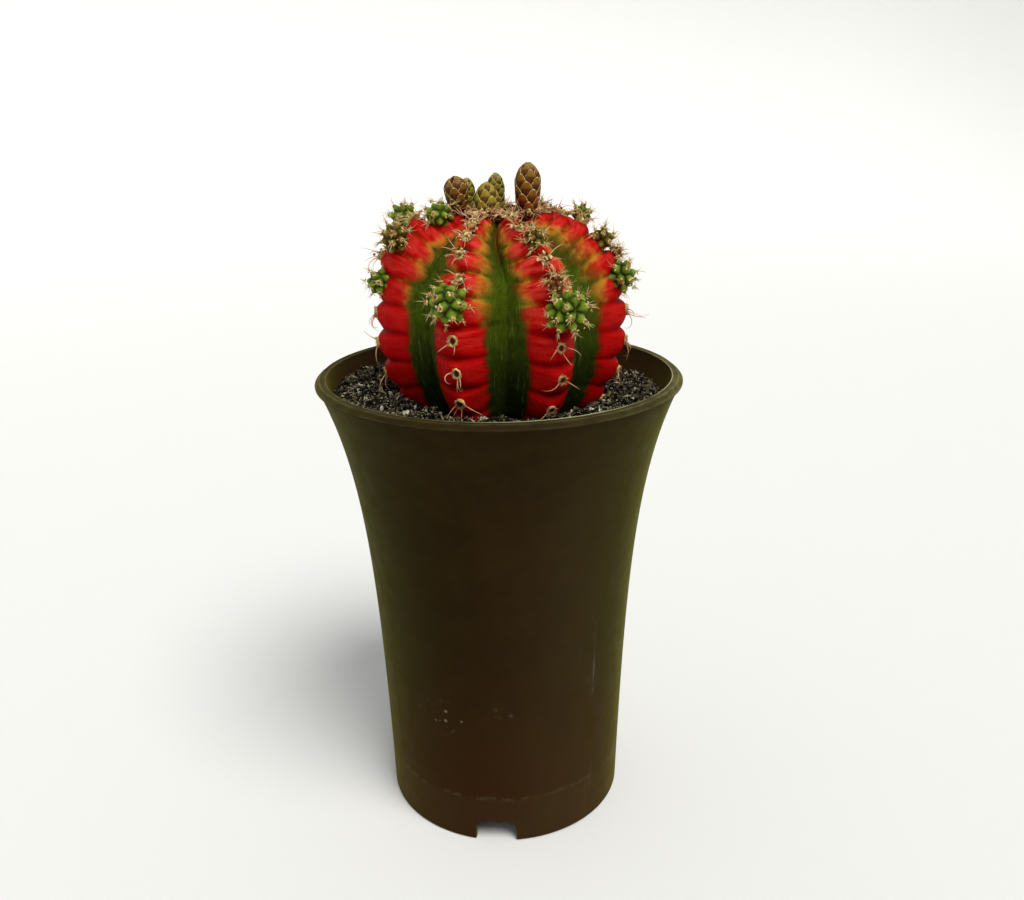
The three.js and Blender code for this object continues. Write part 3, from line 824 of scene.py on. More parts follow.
        # the lip's share: a painted reflection, strongest on the right and weaker on the left, and a painted
        # highlight along the outer edge, strongest at the front right
        wear_and_reflection = 0.4 + 0.7 * bell(side, 90, 45) + 0.22 * bell(side, -80, 40)
        line = np.maximum(wear_and_reflection, 0.95 * bell(side, 20, 60))
        values = {
            "lip": np.clip(lip * np.where(lip < 1, wear_and_reflection, line), 0, 1),
            "outside": outside,
            "rubbed": outside * bell(azimuth, 53, 13) * bell(height, 31, 17),
            # painted highlight on the right side, weaker towards the rim
            "painted_highlight": outside * bell(side, 30, 28) * (1 - 0.5 * smooth_step(height, 70, 105)),
            # olive: where the painted reflection on the flanks shows
            "olive": outside * bell(np.abs(side), 68, 32),
            "chipped": outside * bell(side, -16, 14) * bell(height, 34, 2.4),
        }
        return closed_strips(points, values)

    def drain_cutter(self) -> bpy.types.Object:
        """Round rods through the floor where the drain holes are."""
        low, high = self.floor - 1, self.floor + self.floor_thickness + 1
        circle = swung(around(40), RIGHT, BACK)
        ends = ((0, low), (1, low), (1, high), (0, high))
        rods = [
            [towards(azimuth) * out + circle * share * radius + UP * z for share, z in ends]
            for azimuth, out, radius in self.drains
        ]
        shape = closed_strips(np.array(rods))
        mesh = bpy.data.meshes.new("drain_cutter")
        faces = [tuple(dict.fromkeys(face)) for face in shape.faces.tolist()]
        mesh.from_pydata((shape.points * MM).tolist(), [], faces)
        return link("drain_cutter", mesh)

    def build(self, finish: PotPlastic) -> None:
        """Makes the pot, and cuts the drain holes with a Boolean modifier that is applied."""
        piece = make_piece("pot_shell", self.shape(), finish.material(), Slot.POT, ["pot"])
        cutter = self.drain_cutter()
        cut = piece.modifiers.new("drains", "BOOLEAN")
        cut.operation, cut.solver, cut.object = "DIFFERENCE", "EXACT", cutter
        bpy.context.view_layer.update()
        seen = piece.evaluated_get(bpy.context.evaluated_depsgraph_get())
        mesh, plain = bpy.data.meshes.new_from_object(seen), piece.data
        piece.modifiers.clear()
        piece.data = mesh
        bpy.data.meshes.remove(plain)
        mesh.name = "pot_shell"
        bpy.data.objects.remove(cutter)
        mesh.set_sharp_from_angle(angle=math.radians(self.sharp_angle))


# ---- globe form ----


@dataclass(frozen=True)
class Rib:
    """One rib.

    Attributes:
        name: Its name.
        azimuth: Where its crest stands.
        shift: How many areoles its own lie above the front left rib's.
        bend: How far its crest turns sideways over the shoulder, in degrees.
        swell: How far its shoulder stands out beyond the usual outline, in millimetres.
        reach: How far the red reaches down its two flanks, beside the usual.
        amber: How wide the amber beyond the red is on its two flanks, beside the usual.
        higher: How much further the red reaches on its two flanks towards the shoulder.
        lower: How much of its reach the red keeps on its two flanks near the foot.
        first: Its lowest areole that shows.
    """

    name: str
    azimuth: float
    shift: float
    bend: float = 0.0
    swell: float = 0.0
    reach: tuple[float, float] = (1.0, 1.0)
    amber: tuple[float, float] = (0.8, 0.8)
    higher: tuple[float, float] = (1.0, 1.0)
    lower: tuple[float, float] = (1.0, 1.0)
    first: int = 0


# Each row: name, azimuth, shift, bend, swell, reach, amber, higher and lower.
RIBS = (
    Rib("left", -79, 0.2, 0.0, 2.6, (1.0, 1.12), (0.6, 0.5), (1.0, 1.45), (1.0, 0.84), first=-1),
    Rib("front_left", -20, -0.1, -2.0, 0.0, (0.78, 0.78), (0.5, 1.05), (0.6, 1.0)),
    Rib("front_right", 25, -0.4, -13.0, 0.0, (1.05, 0.7), (0.8, 0.4), (1.1, 1.0), (0.74, 1.0)),
    Rib("right", 80, 0.15, 4.0, 0.8, (0.94, 1.0), (1.05, 0.6), (1.15, 1.0), (0.86, 1.0), first=-1),
    Rib("back_right", 123, -0.2, swell=1.2),
    Rib("back", 178, 0.1, swell=1.0),
    Rib("back_left", 234, -0.1, swell=2.0, first=-1),
)


@dataclass
class GlobeForm:
    """The globe's surface law, which its areoles, offsets and buds stand on.

    The crests of the ribs follow one outline: a superellipse from the crown down to the widest level,
    with the crown's middle sunk, and an ellipse from there down to the root. Areoles are counted up a
    rib, and areole n lies start + first * n - shrink * n * n along the outline from the widest level.
    Between two crests the surface sinks by a share of the radius, as a ridge with a rounded crest mixed
    with a smooth wave, and across each rib it sinks in a furrow above every areole.

    Attributes:
        equator: Height of the widest level.
        centre_x: How far its axis stands from the pot's, towards +X.
        radius, shoulder, belly: Its radius, its height above the widest level and its depth below.
        fullness: The superellipse's power.
        crown_dip, crown_dip_radius: How far the crown's middle is sunk, and how widely.
        valley: A valley's depth, as a share of the radius.
        relief: A furrow's depth.
        start, first, shrink: The terms of an areole's place along the outline.
        crest_round, wave_share: How round a crest is, and how much of the wave there is.
        crease, pleat: The depth of the crease along a valley, and of the fold between two tubercles.
        sway: How far a tubercle leans sideways at most, in degrees.
        chevron: How far the furrows drop from a crest to a valley, in areoles. Below 0, they climb.
        climb: How far below its areole a tubercle starts, in areoles.
        steps: The outline's parts.
        ribs: Its ribs.
    """

    equator: float
    centre_x: float = 0.8
    radius: float = 28.5
    shoulder: float = 26.5
    fullness: float = 2.6
    belly: float = 28.0
    crown_dip: float = 3.2
    crown_dip_radius: float = 6.0
    valley: float = 0.285
    relief: float = 1.9
    start: float = -11.5
    first: float = 7.6
    shrink: float = 0.24
    crest_round: float = 0.12
    wave_share: float = 0.3
    crease: float = 0.55
    pleat: float = 0.2
    sway: float = 1.4
    chevron: float = -0.3
    climb: float = 0.62
    steps: int = 400
    ribs: tuple[Rib, ...] = RIBS

    @cached_property
    def outline(self) -> Array:
        """The outline as rows of along, radius, height, outward normal's out and up."""
        angle = np.linspace(-math.pi / 2, math.pi / 2, self.steps + 1)
        upper = angle > 0
        power = np.where(upper, 2 / self.fullness, 1.0)
        rise = np.abs(np.sin(angle)) ** power
        radius = self.radius * np.maximum(np.cos(angle), 0) ** power
        radius[[0, -1]] = 0
        dip = np.where(upper, self.crown_dip * bell(radius, 0, self.crown_dip_radius), 0)
        height = np.where(upper, self.shoulder * rise - dip, -self.belly * rise)
        steps = np.hypot(np.diff(radius, prepend=radius[0]), np.diff(height, prepend=height[0]))
        along = np.cumsum(steps)
        along = along - along[np.argmax(height >= 0)]
        out, up = np.gradient(height), -np.gradient(radius)
        run = np.hypot(out, up)
        return np.stack([along, radius, height, out / run, up / run])

    def at(self, along: Array) -> tuple[Array, ...]:
        """The outline's radius, height and normal at distances along it."""
        return tuple(np.interp(along, self.outline[0], row) for row in self.outline[1:])

    def along(self, number: Array) -> Array:
        """The distance along the outline at areole numbers."""
        return self.start + self.first * number - self.shrink * number * number

    def number(self, along: float) -> float:
        """The areole number at a distance along the outline."""
        inside = self.first**2 - 4 * self.shrink * (along - self.start)
        return (self.first - math.sqrt(inside)) / (2 * self.shrink)

    @cached_property
    def root(self) -> float:
        """The areole number at the root."""
        return self.number(self.outline[0, 0])

    @cached_property
    def crown(self) -> float:
        """The areole number at the crown's middle."""
        return self.number(self.outline[0, -1])

    def tubercle(self, number: Array) -> Array:
        """How far a tubercle stands out: 0 in a furrow, rising to 1 up the chin, dropping past the areole."""
        climb = (number + self.climb) % 1
        rising = 1 - (1 - np.minimum(1, climb / 0.5)) ** 1.7
        dropped = np.maximum(0, (climb - 0.7) / 0.3)
        return rising * (1 - dropped**2.2)

    def over_shoulder(self, number: Array) -> Array:
        """How far a rib has turned over the shoulder at an areole number, from 0 to 1."""
        return smooth_step(number, 4.2, 7.8)

    def strength(self, number: Array) -> Array:
        """How marked the ribs are: fully in the middle, fading at the root and the crown."""
        low = smooth_step(number, self.root, self.root + 1.6)
        return low * (1 - smooth_step(number, self.crown - 3.5, self.crown))

    @cached_property
    def sways(self) -> Array:
        """How far each tubercle leans sideways, in degrees of azimuth, by rib and tubercle."""
        return np.random.default_rng(11).uniform(-self.sway, self.sway, (len(self.ribs), 24))

    def surface(self, turn: Array, number: Array) -> tuple[Array, dict[str, Array]]:
        """Points of the globe.

        Args:
            turn: Ribs counted round the globe: whole at the crests, half way between in the valleys.
            number: Areoles counted up a rib, in an array that broadcasts with turn.

        Returns:
            The points, and the values tier (areoles up from the front left rib's first), across (0 at
            a crest, 1 in a valley), furrow (1 in a furrow), azimuth, reach and amber (how far the flank's
            red and amber reach) at each.
        """
        turn, number = np.broadcast_arrays(np.asarray(turn, float), np.asarray(number, float))
        table = np.array([(rib.azimuth, rib.bend, rib.swell, rib.shift) for rib in self.ribs])
        azimuths, bends, swells, shifts = table.T
        rib = np.floor(turn).astype(int) % len(self.ribs)
        after = (rib + 1) % len(self.ribs)
        part = turn - np.floor(turn)
        over = self.over_shoulder(number)
        start = azimuths[rib] + bends[rib] * over
        gap = (azimuths[after] + bends[after] * over - start) % 360
        shift = blend(shifts[rib], shifts[after], smooth_step(part, 0.2, 0.8))
        swell = blend(swells[rib], swells[after], smooth_step(part, 0.0, 1.0)) * bell(number, 5.1, 1.7)
        strength = self.strength(number)
        tier = number + shift * strength
        radius, height, out, up = self.at(self.along(tier))

        across_rib = 2 * np.minimum(part, 1 - part)
        slanted = number + self.chevron * across_rib * smooth_step(number, 0.5, 6.5)
        tubercle = self.tubercle(slanted)
        nearest = np.where(part < 0.5, rib, after)
        which = np.clip(np.floor(slanted + self.climb).astype(int), 0, self.sways.shape[1] - 1)
        lean = self.sways[nearest, which] * tubercle * strength * (1 - across_rib) ** 2
        azimuth = start + gap * part + lean

        straight = np.hypot(across_rib, self.crest_round) - self.crest_round
        straight = straight / (math.hypot(1, self.crest_round) - self.crest_round)
        wave = (1 - np.cos(math.pi * across_rib)) / 2
        depth = self.valley * radius * blend(straight, wave, self.wave_share)
        fade = np.exp(-blend(5.2, 3.0, smooth_step(number, 1.5, 5.0)) * across_rib)
        furrow = self.relief * strength * (1 - tubercle) * fade
        seam = 0.5 - np.abs((slanted + self.climb) % 1 - 0.5)
        pleat = bell(seam, 0, 0.09) * (1 - smooth_step(across_rib, 0.45, 0.9))
        furrow = furrow + self.pleat * pleat * strength
        high = smooth_step(tier, 3.0, 6.0) * (1 - smooth_step(tier, 9.0, 10.5))
        moved = swell - depth - furrow - self.crease * high * bell(1 - across_rib, 0, 0.07)
        points = towards(azimuth) * np.maximum(0, radius + out * moved)[..., None]
        points[..., 0] += self.centre_x
        points[..., 2] += self.equator + height + up * moved

        sides = np.array([(rib.reach, rib.amber, rib.higher, rib.lower) for rib in self.ribs])
        sides = np.where(part[..., None] < 0.5, sides[rib, :, 1], sides[after, :, 0])
        reach, amber, higher, lower = np.moveaxis(sides, -1, 0)
        reach = reach * blend(1.0, higher, smooth_step(tier, 3.0, 5.0))
        reach = reach * blend(lower, 1.0, smooth_step(tier, 0.5, 4.0))
        shown = (1 - tubercle) * strength * (1 - 0.6 * across_rib)
        facts = {"tier": tier, "across": across_rib, "furrow": shown}
        return points, facts | {"azimuth": azimuth, "reach": reach, "amber": amber}

    def areole(self, rib: int, number: float) -> tuple[Array, Array, Array, Array]:
        """An areole's place on its crest.

        Args:
            rib, number: Which areole it is.

        Returns:
            Its place, and the directions outwards, sideways and down there.
        """
        point, _ = self.surface(np.array([rib]), np.array([number]))
        shifted = number + self.ribs[rib].shift * float(self.strength(np.array(number)))
        _, _, out, up = self.at(np.array(self.along(shifted)))
        bend = self.ribs[rib].bend * float(self.over_shoulder(np.array(number)))
        azimuth = self.ribs[rib].azimuth + bend
        outward = towards(azimuth) * out + UP * up
        side = towards(azimuth + 90)
        return point[0], outward, side, np.cross(side, outward)

    def crown_height(self, distance: Array) -> Array:
        """The height of the outline above the base at distances from the crown's middle."""
        _, radius, height, _, _ = self.outline
        top = height > 0
        return self.equator + np.interp(distance, radius[top][::-1], height[top][::-1])

    def girth(self, azimuth: Array, height: float) -> Array:
        """The globe's radius below its widest level, read off its surface rib by rib.

        Args:
            azimuth: Where it is wanted.
            height: At what height.

        Returns:
            The radius at each azimuth.
        """
        turn = np.linspace(0, len(self.ribs), 211)
        number = np.linspace(self.root, 1.0, 90)
        points, facts = self.surface(turn[None, :], number[:, None])
        flat = np.hypot(points[..., 0] - self.centre_x, points[..., 1])
        radii = np.array([np.interp(height, z, r) for z, r in zip(points[..., 2].T, flat.T)])
        ring = facts["azimuth"][0]
        return np.interp((azimuth - ring[0]) % 360 + ring[0], ring, radii)


# ---- globe skin ----


@dataclass(frozen=True)
class GlobeSkin(Finish):
    """Variegated cactus skin: red rib crests over green valleys, with an amber blend higher up, painted
    shade in the furrows and a painted highlight on the tubercles that face the front.

    Attributes:
        red, deep_red, flush: The crest's usual colour, painted shade in its furrows, and a painted highlight
        on its tubercles.
        amber, brown, umber: The blend between red and green higher up, in the upper furrows and low down.
        green, dark_green, streak: The valley's colour high up and low down, and its fine lines.
    """

    red: Colour = paint(178, 1, 2)
    deep_red: Colour = paint(116, 1, 2)
    tubercle_highlight: Colour = paint(244, 74, 62)
    amber: Colour = paint(208, 140, 46)
    brown: Colour = paint(140, 62, 14)
    umber: Colour = paint(84, 22, 4)
    green: Colour = paint(76, 92, 14)
    dark_green: Colour = paint(36, 46, 8)
    streak: Colour = paint(122, 138, 60)

    def dress(self, nodes: Nodes) -> Sockets:
        """Masks from the surface law, ruffled by noise, choose between the colours."""
        flow = nodes.value("flow", "Vector")
        tier, furrow, reach = nodes.value("tier"), nodes.value("furrow"), nodes.value("red_reach")
        blur, amber_width = nodes.value("blur"), nodes.value("amber_width")
        ragged = nodes.noise(flow, 1.0, 5.0, 0.6, stretch=(0.25, 0.25, 0.95))
        blotch = nodes.noise(flow, 0.3, 3.0)
        ruffle = nodes.swing(ragged, nodes.remap(tier, 1.0, 5.0, 0.1, 0.22))
        edge = nodes.plus(reach, nodes.plus(ruffle, nodes.swing(blotch, 0.2)))
        red_share = nodes.remap(edge, nodes.times(blur, -1.0), blur)
        amber_share = nodes.remap(edge, nodes.times(amber_width, -1.0), 0.02)

        lines = nodes.noise(flow, 1.0, 4.0, 0.65, stretch=(2.6, 2.6, 0.16))
        dapple = nodes.noise(flow, 1.0, 5.0, 0.7, stretch=(0.9, 0.9, 0.5))
        green = nodes.layers(
            self.dark_green,
            (nodes.remap(tier, 0.0, 3.4), self.green),
            (nodes.remap(tier, 3.4, 6.2, 0.0, 0.5), self.dark_green),
            (nodes.remap(blotch, 0.4, 0.62, 0.0, 0.35), self.dark_green),
            (nodes.remap(dapple, 0.48, 0.62, 0.0, 0.6), self.dark_green),
            (nodes.remap(lines, 0.56, 0.74, 0.0, 0.6), self.streak),
        )
        warm = nodes.mix(nodes.remap(blotch, 0.38, 0.62), self.amber, self.brown)
        warm = nodes.mix(nodes.remap(tier, 1.6, 3.6), self.umber, warm)
        glow = nodes.noise(flow, 1.0, 3.0, stretch=(0.3, 0.3, 0.9))
        # the painted highlight's share: away from the furrows, by the share that the mesh carries
        full = nodes.times(nodes.remap(furrow, 0.5, 0.05), nodes.value("highlight_share"))
        upper_furrow = nodes.times(nodes.remap(furrow, 0.35, 0.95, 0.0, 0.75), nodes.remap(tier, 2.4, 5.0))
        red = nodes.layers(
            self.red,
            # painted highlight on the tubercles, broken up by noise
            (nodes.times(nodes.remap(glow, 0.3, 0.64), full), self.tubercle_highlight),
            # painted shade in the furrows between tubercles
            (nodes.remap(furrow, 0.2, 0.9, 0.0, 0.75), self.deep_red),
            (upper_furrow, self.brown),
        )
        fold = nodes.times(nodes.value("fold"), nodes.remap(ragged, 0.35, 0.6))
        colour = nodes.layers(green, (amber_share, warm), (red_share, red), (fold, self.brown))

        pores = nodes.cells(flow, 3.2).outputs["Distance"]
        wrinkles = nodes.noise(flow, 1.0, 4.0, stretch=(0.5, 0.5, 3.2))
        relief = nodes.plus(nodes.times(lines, 1.6), nodes.times(pores, 0.35))
        relief = nodes.plus(relief, nodes.times(wrinkles, 0.8))
        return {
            "Base Color": colour,
            "Roughness": nodes.remap(nodes.noise(flow, 1.4, 3.0), 0.32, 0.68, 0.42, 0.58),
            "Normal": nodes.bump(relief, 0.55, 0.35),
            "Subsurface Weight": 0.06,
            "Subsurface Radius": (1.0, 0.25, 0.1),
            "Subsurface Scale": 1.6 * MM,
        }


@dataclass
class Globe:
    """The globe's skin as a mesh on its surface law.

    Attributes:
        form: The surface law.
        columns_per_rib, rows: The mesh's columns and its rows over what shows.
        shown: The areole numbers of the lowest and the highest of those rows.
        flow_radius: The radius at which a pattern that follows the skin is at its true width.
    """

    form: GlobeForm
    columns_per_rib: int = 48
    rows: int = 256
    shown: tuple[float, float] = (-1.3, 10.1)
    flow_radius: float = 25.0

    def numbers(self) -> Array:
        """The areole numbers of the rows: even over what shows, and wider apart towards both poles."""
        (first, last), root, crown = self.shown, self.form.root, self.form.crown
        low = root + (first - root) * np.linspace(0, 1, 12, endpoint=False) ** 0.8
        high = crown - (crown - last) * np.linspace(1, 0, 12) ** 1.2
        return np.concatenate([low, np.linspace(first, last, self.rows, endpoint=False), high])

    def shape(self) -> Shape:
        """The skin: the surface law on a grid, a little uneven, with its colour masks.

        red_reach is how far inside the red a point lies, counted like across. The red reaches less far
        from the crest higher up, and less far again in the furrows there. flow runs round and up the
        skin in millimetres, for patterns that follow it.
        """
        form = self.form
        turn = 0.5 + np.arange(len(form.ribs) * self.columns_per_rib) / self.columns_per_rib
        points, facts = form.surface(turn[None, :], self.numbers()[:, None])
        tier, across_rib, furrow = facts["tier"], facts["across"], facts["furrow"]
        from_middle = unit(points - np.array([form.centre_x, 0, form.equator]))
        uneven = 0.16 * ripple(points, 5.0, 3) + 0.06 * ripple(points, 1.9, 4)
        points = points + from_middle * uneven[..., None]
        reach = np.interp(tier, [-1, 1.5, 2.6, 3.4, 5, 7, 9], [0.61, 0.61, 0.57, 0.54, 0.54, 0.56, 0.66])
        reach = reach * facts["reach"] + 0.04 * ripple(points, 9.0, 5)
        bitten = furrow * smooth_step(tier, 2.0, 3.6) * 0.26
        amber = np.interp(tier, [0, 2.0, 3.2, 5, 8], [0.06, 0.12, 0.3, 0.4, 0.44])
        side = (facts["azimuth"] + 180) % 360 - 180
        # share of the painted highlight on the tubercles: more on the upper ribs
        pale = np.interp(tier, [1.0, 5.0], [0.12, 0.9])
        flow = towards(facts["azimuth"]) * self.flow_radius
        flow[..., 2] = form.along(tier)
        values = {
            "tier": tier, "furrow": furrow,
            "red_reach": reach - across_rib - bitten,
            "blur": np.interp(tier, [0, 2.4, 4, 7], [0.07, 0.1, 0.16, 0.2]),
            "amber_width": amber * facts["amber"],
            "fold": smooth_step(across_rib, 0.84, 0.98) * smooth_step(tier, 5.0, 7.2) * 0.8,
            # painted highlight: strongest where the ribs face the front
            "highlight_share": pale * (0.35 + 0.65 * bell(side, 5, 48)),
            "flow": flow,
        }
        return closed_strips(points, values)

    def build(self, finish: GlobeSkin) -> None:
        """Makes the globe."""
        make_piece("globe_skin", self.shape(), finish.material(), Slot.GLOBE, ["plant_body"])


# ---- felt and spines ----


@dataclass(frozen=True)
class Felt(Finish):
    """Cream areole felt, tan at its foot, round a dark brown middle.

    Attributes:
        cream, tan, dark: Its colours. Dark also paints shade: on some loose tufts and crown fibres and
            crumbs.
    """

    cream: Colour = paint(246, 230, 158)
    tan: Colour = paint(158, 96, 40)
    dark: Colour = paint(74, 26, 5)

    def dress(self, nodes: Nodes) -> Sockets:
        """Shade picks cream, tan or, past 1, dark, and core darkens the middle."""
        shade = nodes.value("shade")
        colour, height = nodes.mottled(self.cream, self.tan, 1500.0, 0.5)
        colour = nodes.layers(
            colour,
            (nodes.remap(shade, 0.0, 1.0), self.tan),
            (nodes.remap(shade, 1.0, 1.5), self.dark),
            (nodes.value("core"), self.dark),
        )
        return {"Base Color": colour, "Normal": nodes.bump(height, 0.6, 0.2), "Sheen Weight": 0.08}


@dataclass(frozen=True)
class SpineHorn(Finish):
    """Horny spines: reddish tan, paler along the middle, with darker tips.

    Attributes:
        base, pale, tip: Its colours.
    """

    base: Colour = paint(176, 94, 54)
    pale: Colour = paint(248, 206, 160)
    tip: Colour = paint(120, 54, 26)

    def dress(self, nodes: Nodes) -> Sockets:
        """Along picks the part of the spine, and shade varies spine from spine."""
        along = nodes.value("along")
        colour = nodes.layers(
            self.base,
            (nodes.remap(along, 0.0, 0.35), self.pale),
            (nodes.times(nodes.value("shade"), 0.6), self.base),
            (nodes.remap(along, 0.7, 1.0, 0.0, 0.7), self.tip),
        )
        colour, _ = nodes.mottled(colour, self.tip, 900.0, 0.3)
        return {"Base Color": colour}


@dataclass(frozen=True)
class FeltPads:
    """Oval felt pads. Each is a low ring with a dimple: its height over a distance q from the middle, as
    a share of its radius, is a bump centred at q = 0.8 plus a low dome, and its edge wavers.

    Attributes:
        columns: Points round a ring.
        rings: The distances q of the rings of points, from the underside's middle to the top's.
        waver: How uneven it is.
        length: Its length up and down, beside its width.
    """

    columns: int = 14
    rings: tuple[float, ...] = (0.0, 0.92, 1.0, 0.9, 0.78, 0.64, 0.48, 0.24, 0.0)
    waver: float = 0.09
    length: float = 1.18

    def build(
        self, middle: Array, outward: Array, side: Array, size: Array, ring: float, shade: Array, seed: int
    ) -> Shape:
        """Makes the pads.

        Args:
            middle, outward, side: Each pad's place and its own directions.
            size: Its radius sideways.
            ring: How much of the ring there is, 0 for a plain dome.
            shade: How tan it is.
            seed: Picks the waver.

        Returns:
            The pads, with core 1 in the dimple of a ring, and shade.
        """
        angle = around(self.columns, -2 * math.pi)[:, None]
        q = np.array(self.rings)
        random = np.random.default_rng(seed)
        waver = 1 + random.normal(0, self.waver, (len(middle), len(q), self.columns))
        dome = np.sqrt(np.maximum(0, 1 - q * q))
        height = dome * (0.55 - 0.43 * ring) + bell(q, 0.8, 0.14) * ring * 0.3
        height[:2] = -0.25
        height[q == 1] = 0.0
        flat = (q[:, None] * waver * size[:, None, None])[..., None]
        lift = (height[:, None] * waver * size[:, None, None])[..., None]
        middle, outward, side = (vector[:, None, None] for vector in (middle, outward, side))
        down = np.cross(side, outward)
        points = middle + flat * np.cos(angle) * down * self.length + flat * np.sin(angle) * side
        points = points + lift * outward
        core = smooth_step(q, 0.7, 0.5) * ring * (np.arange(len(q)) > 2)
        tan = shade[:, None, None] + ring * np.abs(random.normal(0, 0.38, waver.shape))
        return closed_strips(points, {"core": core[None, :, None], "shade": tan})


FELT_RINGS = FeltPads()
FELT_TUFTS = FeltPads(columns=6, rings=(0.0, 1.0, 0.62, 0.0), waver=0.2)
FELT_CUPS = FeltPads(columns=9, rings=(0.0, 0.95, 1.0, 0.8, 0.5, 0.0), waver=0.14)


@dataclass
class RibAreoles:
    """The felt and the spines of one rib's areoles.

    Attributes:
        form: The globe's surface law.
        rib: The rib's number.
        bare: The areole numbers that an offset has taken.
        last: The highest areole number.
    """

    form: GlobeForm
    rib: int
    bare: tuple[float, ...]
    last: int = 9

    def numbers(self) -> list[int]:
        """The areoles that show."""
        first = self.form.ribs[self.rib].first
        return [n for n in range(first, self.last + 1) if all(abs(n - o) > 0.6 for o in self.bare)]

    def felt(self) -> Shape:
        """A felt ring on each areole with short curly hairs, larger and paler towards the crown, and
        loose tufts over the younger ones."""
        random = np.random.default_rng(100 + self.rib)
        parts, hairs = [], []
        for n in self.numbers():
            middle, outward, side, down = self.form.areole(self.rib, n)
            young = float(smooth_step(n, 2.6, 6.0))
            size = random.uniform(0.95, 1.15)
            shade = np.array([random.uniform(0.1, 0.5)])
            place = (middle + outward * 0.05)[None]
            seed = 1000 * self.rib + n + 1
            ring = 1.0 - 0.7 * young
            sizes = np.array([size])
            parts.append(FELT_RINGS.build(place, outward[None], side[None], sizes, ring, shade, seed))
            tufts = int(26 * young)
            if tufts:
                loose = random.normal(0, 0.85, (3, tufts, 1))
                at = middle + side * loose[0] + down * loose[1] + outward * (0.5 + 0.3 * np.abs(loose[2]))
                tilted = unit(outward + random.normal(0, 0.5, (tufts, 3)))
                beside = across(random.normal(size=(tufts, 3)), tilted)
                sizes = random.uniform(0.16, 0.42, tufts)
                # the dark tufts, one choice in five, are painted shade round the young areoles
                shades = random.choice([0.0, 0.0, 0.2, 0.9, 1.5], tufts)
                seed = 2000 * self.rib + n + 1
                parts.append(FELT_TUFTS.build(at, tilted, beside, sizes, 0.0, shades, seed))
            count = int(34 + 40 * young)
            draw = partial(random.uniform, size=count)
            spread = swung(draw(0, 2 * math.pi), down, side)
            foot = middle + spread * (draw(0.7, 0.95) * size)[:, None] + outward * 0.2 * size
            aim = spread + outward * draw(0.3, 1.6)[:, None]
            bend = random.normal(size=(count, 3))
            length, radius = draw(0.4, 0.9) * (1 + 0.5 * young), draw(0.045, 0.075)
            turns = draw(0.5, 2.0), draw(0, 2.0)
            style = Strands(steps=5, sides=3, taper=0.5)
            hairs.append(style.hairs(foot, aim, bend, length, radius, *turns, draw(0, 0.7)))
        return Shape.joined(parts + hairs)

    def spines(self) -> Shape:
        """The spines of each areole, fanned out over its lower side, curved down and in."""
        random = np.random.default_rng(500 + self.rib)
        parts = []
        for n in self.numbers():
            middle, outward, side, down = self.form.areole(self.rib, n)
            young = float(smooth_step(n, 3.0, 7.0))
            old = 1 - float(smooth_step(n, 1.0, 4.0))
            count = random.integers(2, 5) + int(round(8 * young))
            draw = partial(random.uniform, size=count)
            fan = np.linspace(-1, 1, count) * (1.3 + 1.6 * young) + random.normal(0, 0.34, count)
            spread = swung(fan, down, side)
            aim = unit(spread + outward * draw(0.45, 1.5)[:, None])
            foot = middle + outward * 0.15 + spread * 0.8
            bend = down * 0.7 - outward * 0.6 + random.normal(0, 0.6, (count, 3))
            length, radius = draw(3.0, 6.2) * (1 - 0.32 * young), draw(0.1, 0.15)
            turns = draw(0.1, 1.0), draw(0.0, 1.2 + 1.8 * old)
            style = Strands(steps=10, sides=5)
            parts.append(style.build(foot, aim, bend, length, radius, *turns, draw(0, 1)))
        return Shape.joined(parts)

    def build(self, felt: Material, horn: Material) -> None:
        """Makes the rib's felt and its spines, which stand for the rib's spine clusters."""
        name = self.form.ribs[self.rib].name
        clusters = sorted(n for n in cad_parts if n.rpartition("_")[0] == f"spines_{name}")
        make_piece(f"areole_felt_{name}", self.felt(), felt, Slot.WOOL, [])
        make_piece(f"spines_of_{name}_rib", self.spines(), horn, Slot.SPINES, clusters)


# ---- offsets ----


@dataclass(frozen=True)
class OffsetSkin(Finish):
    """An offset's skin: knobs with a painted highlight on their tops, over creases darkened as painted shade.

    Attributes:
        tip, flank, crease: Its colours, from a knob's top to the crease round it. The tip is a painted
        highlight, and the near-black crease painted shade.
    """

    tip: Colour = paint(208, 224, 104)
    flank: Colour = paint(112, 140, 20)
    crease: Colour = paint(16, 16, 1)

    def dress(self, nodes: Nodes) -> Sockets:
        """Knob picks the part of a knob, and shade varies knob from knob."""
        knob = nodes.value("knob")
        colour = nodes.layers(
            # from painted shade in the crease to a painted highlight on the knob's top
            self.crease,
            (nodes.remap(knob, 0.04, 0.42), self.flank),
            (nodes.remap(knob, 0.4, 1.0, 0.0, 0.8), self.tip),
            (nodes.times(nodes.value("shade"), 0.4), self.crease),
        )
        colour, height = nodes.mottled(colour, self.flank, 900.0, 0.3)
        return {
            "Base Color": colour,
            "Normal": nodes.bump(height, 0.3, 0.1),
            "Subsurface Weight": 0.1,
            "Subsurface Radius": (0.5, 0.8, 0.2),
            "Subsurface Scale": 1.0 * MM,
        }


class Tint(Enum):
    """How an offset is coloured: fresh green, or paler and browner where its skin is nearly all felt."""

    GREEN = OffsetSkin("offset_green", 0.45, 0.16)
    CREAM = OffsetSkin(
        "offset_cream", 0.6, 0.1,
        tip=paint(214, 202, 110), flank=paint(112, 96, 26), crease=paint(38, 14, 3),
    )
    RUSSET = OffsetSkin(
        "offset_russet", 0.55, 0.1,
        tip=paint(204, 166, 112), flank=paint(134, 84, 40), crease=paint(70, 20, 8),
    )


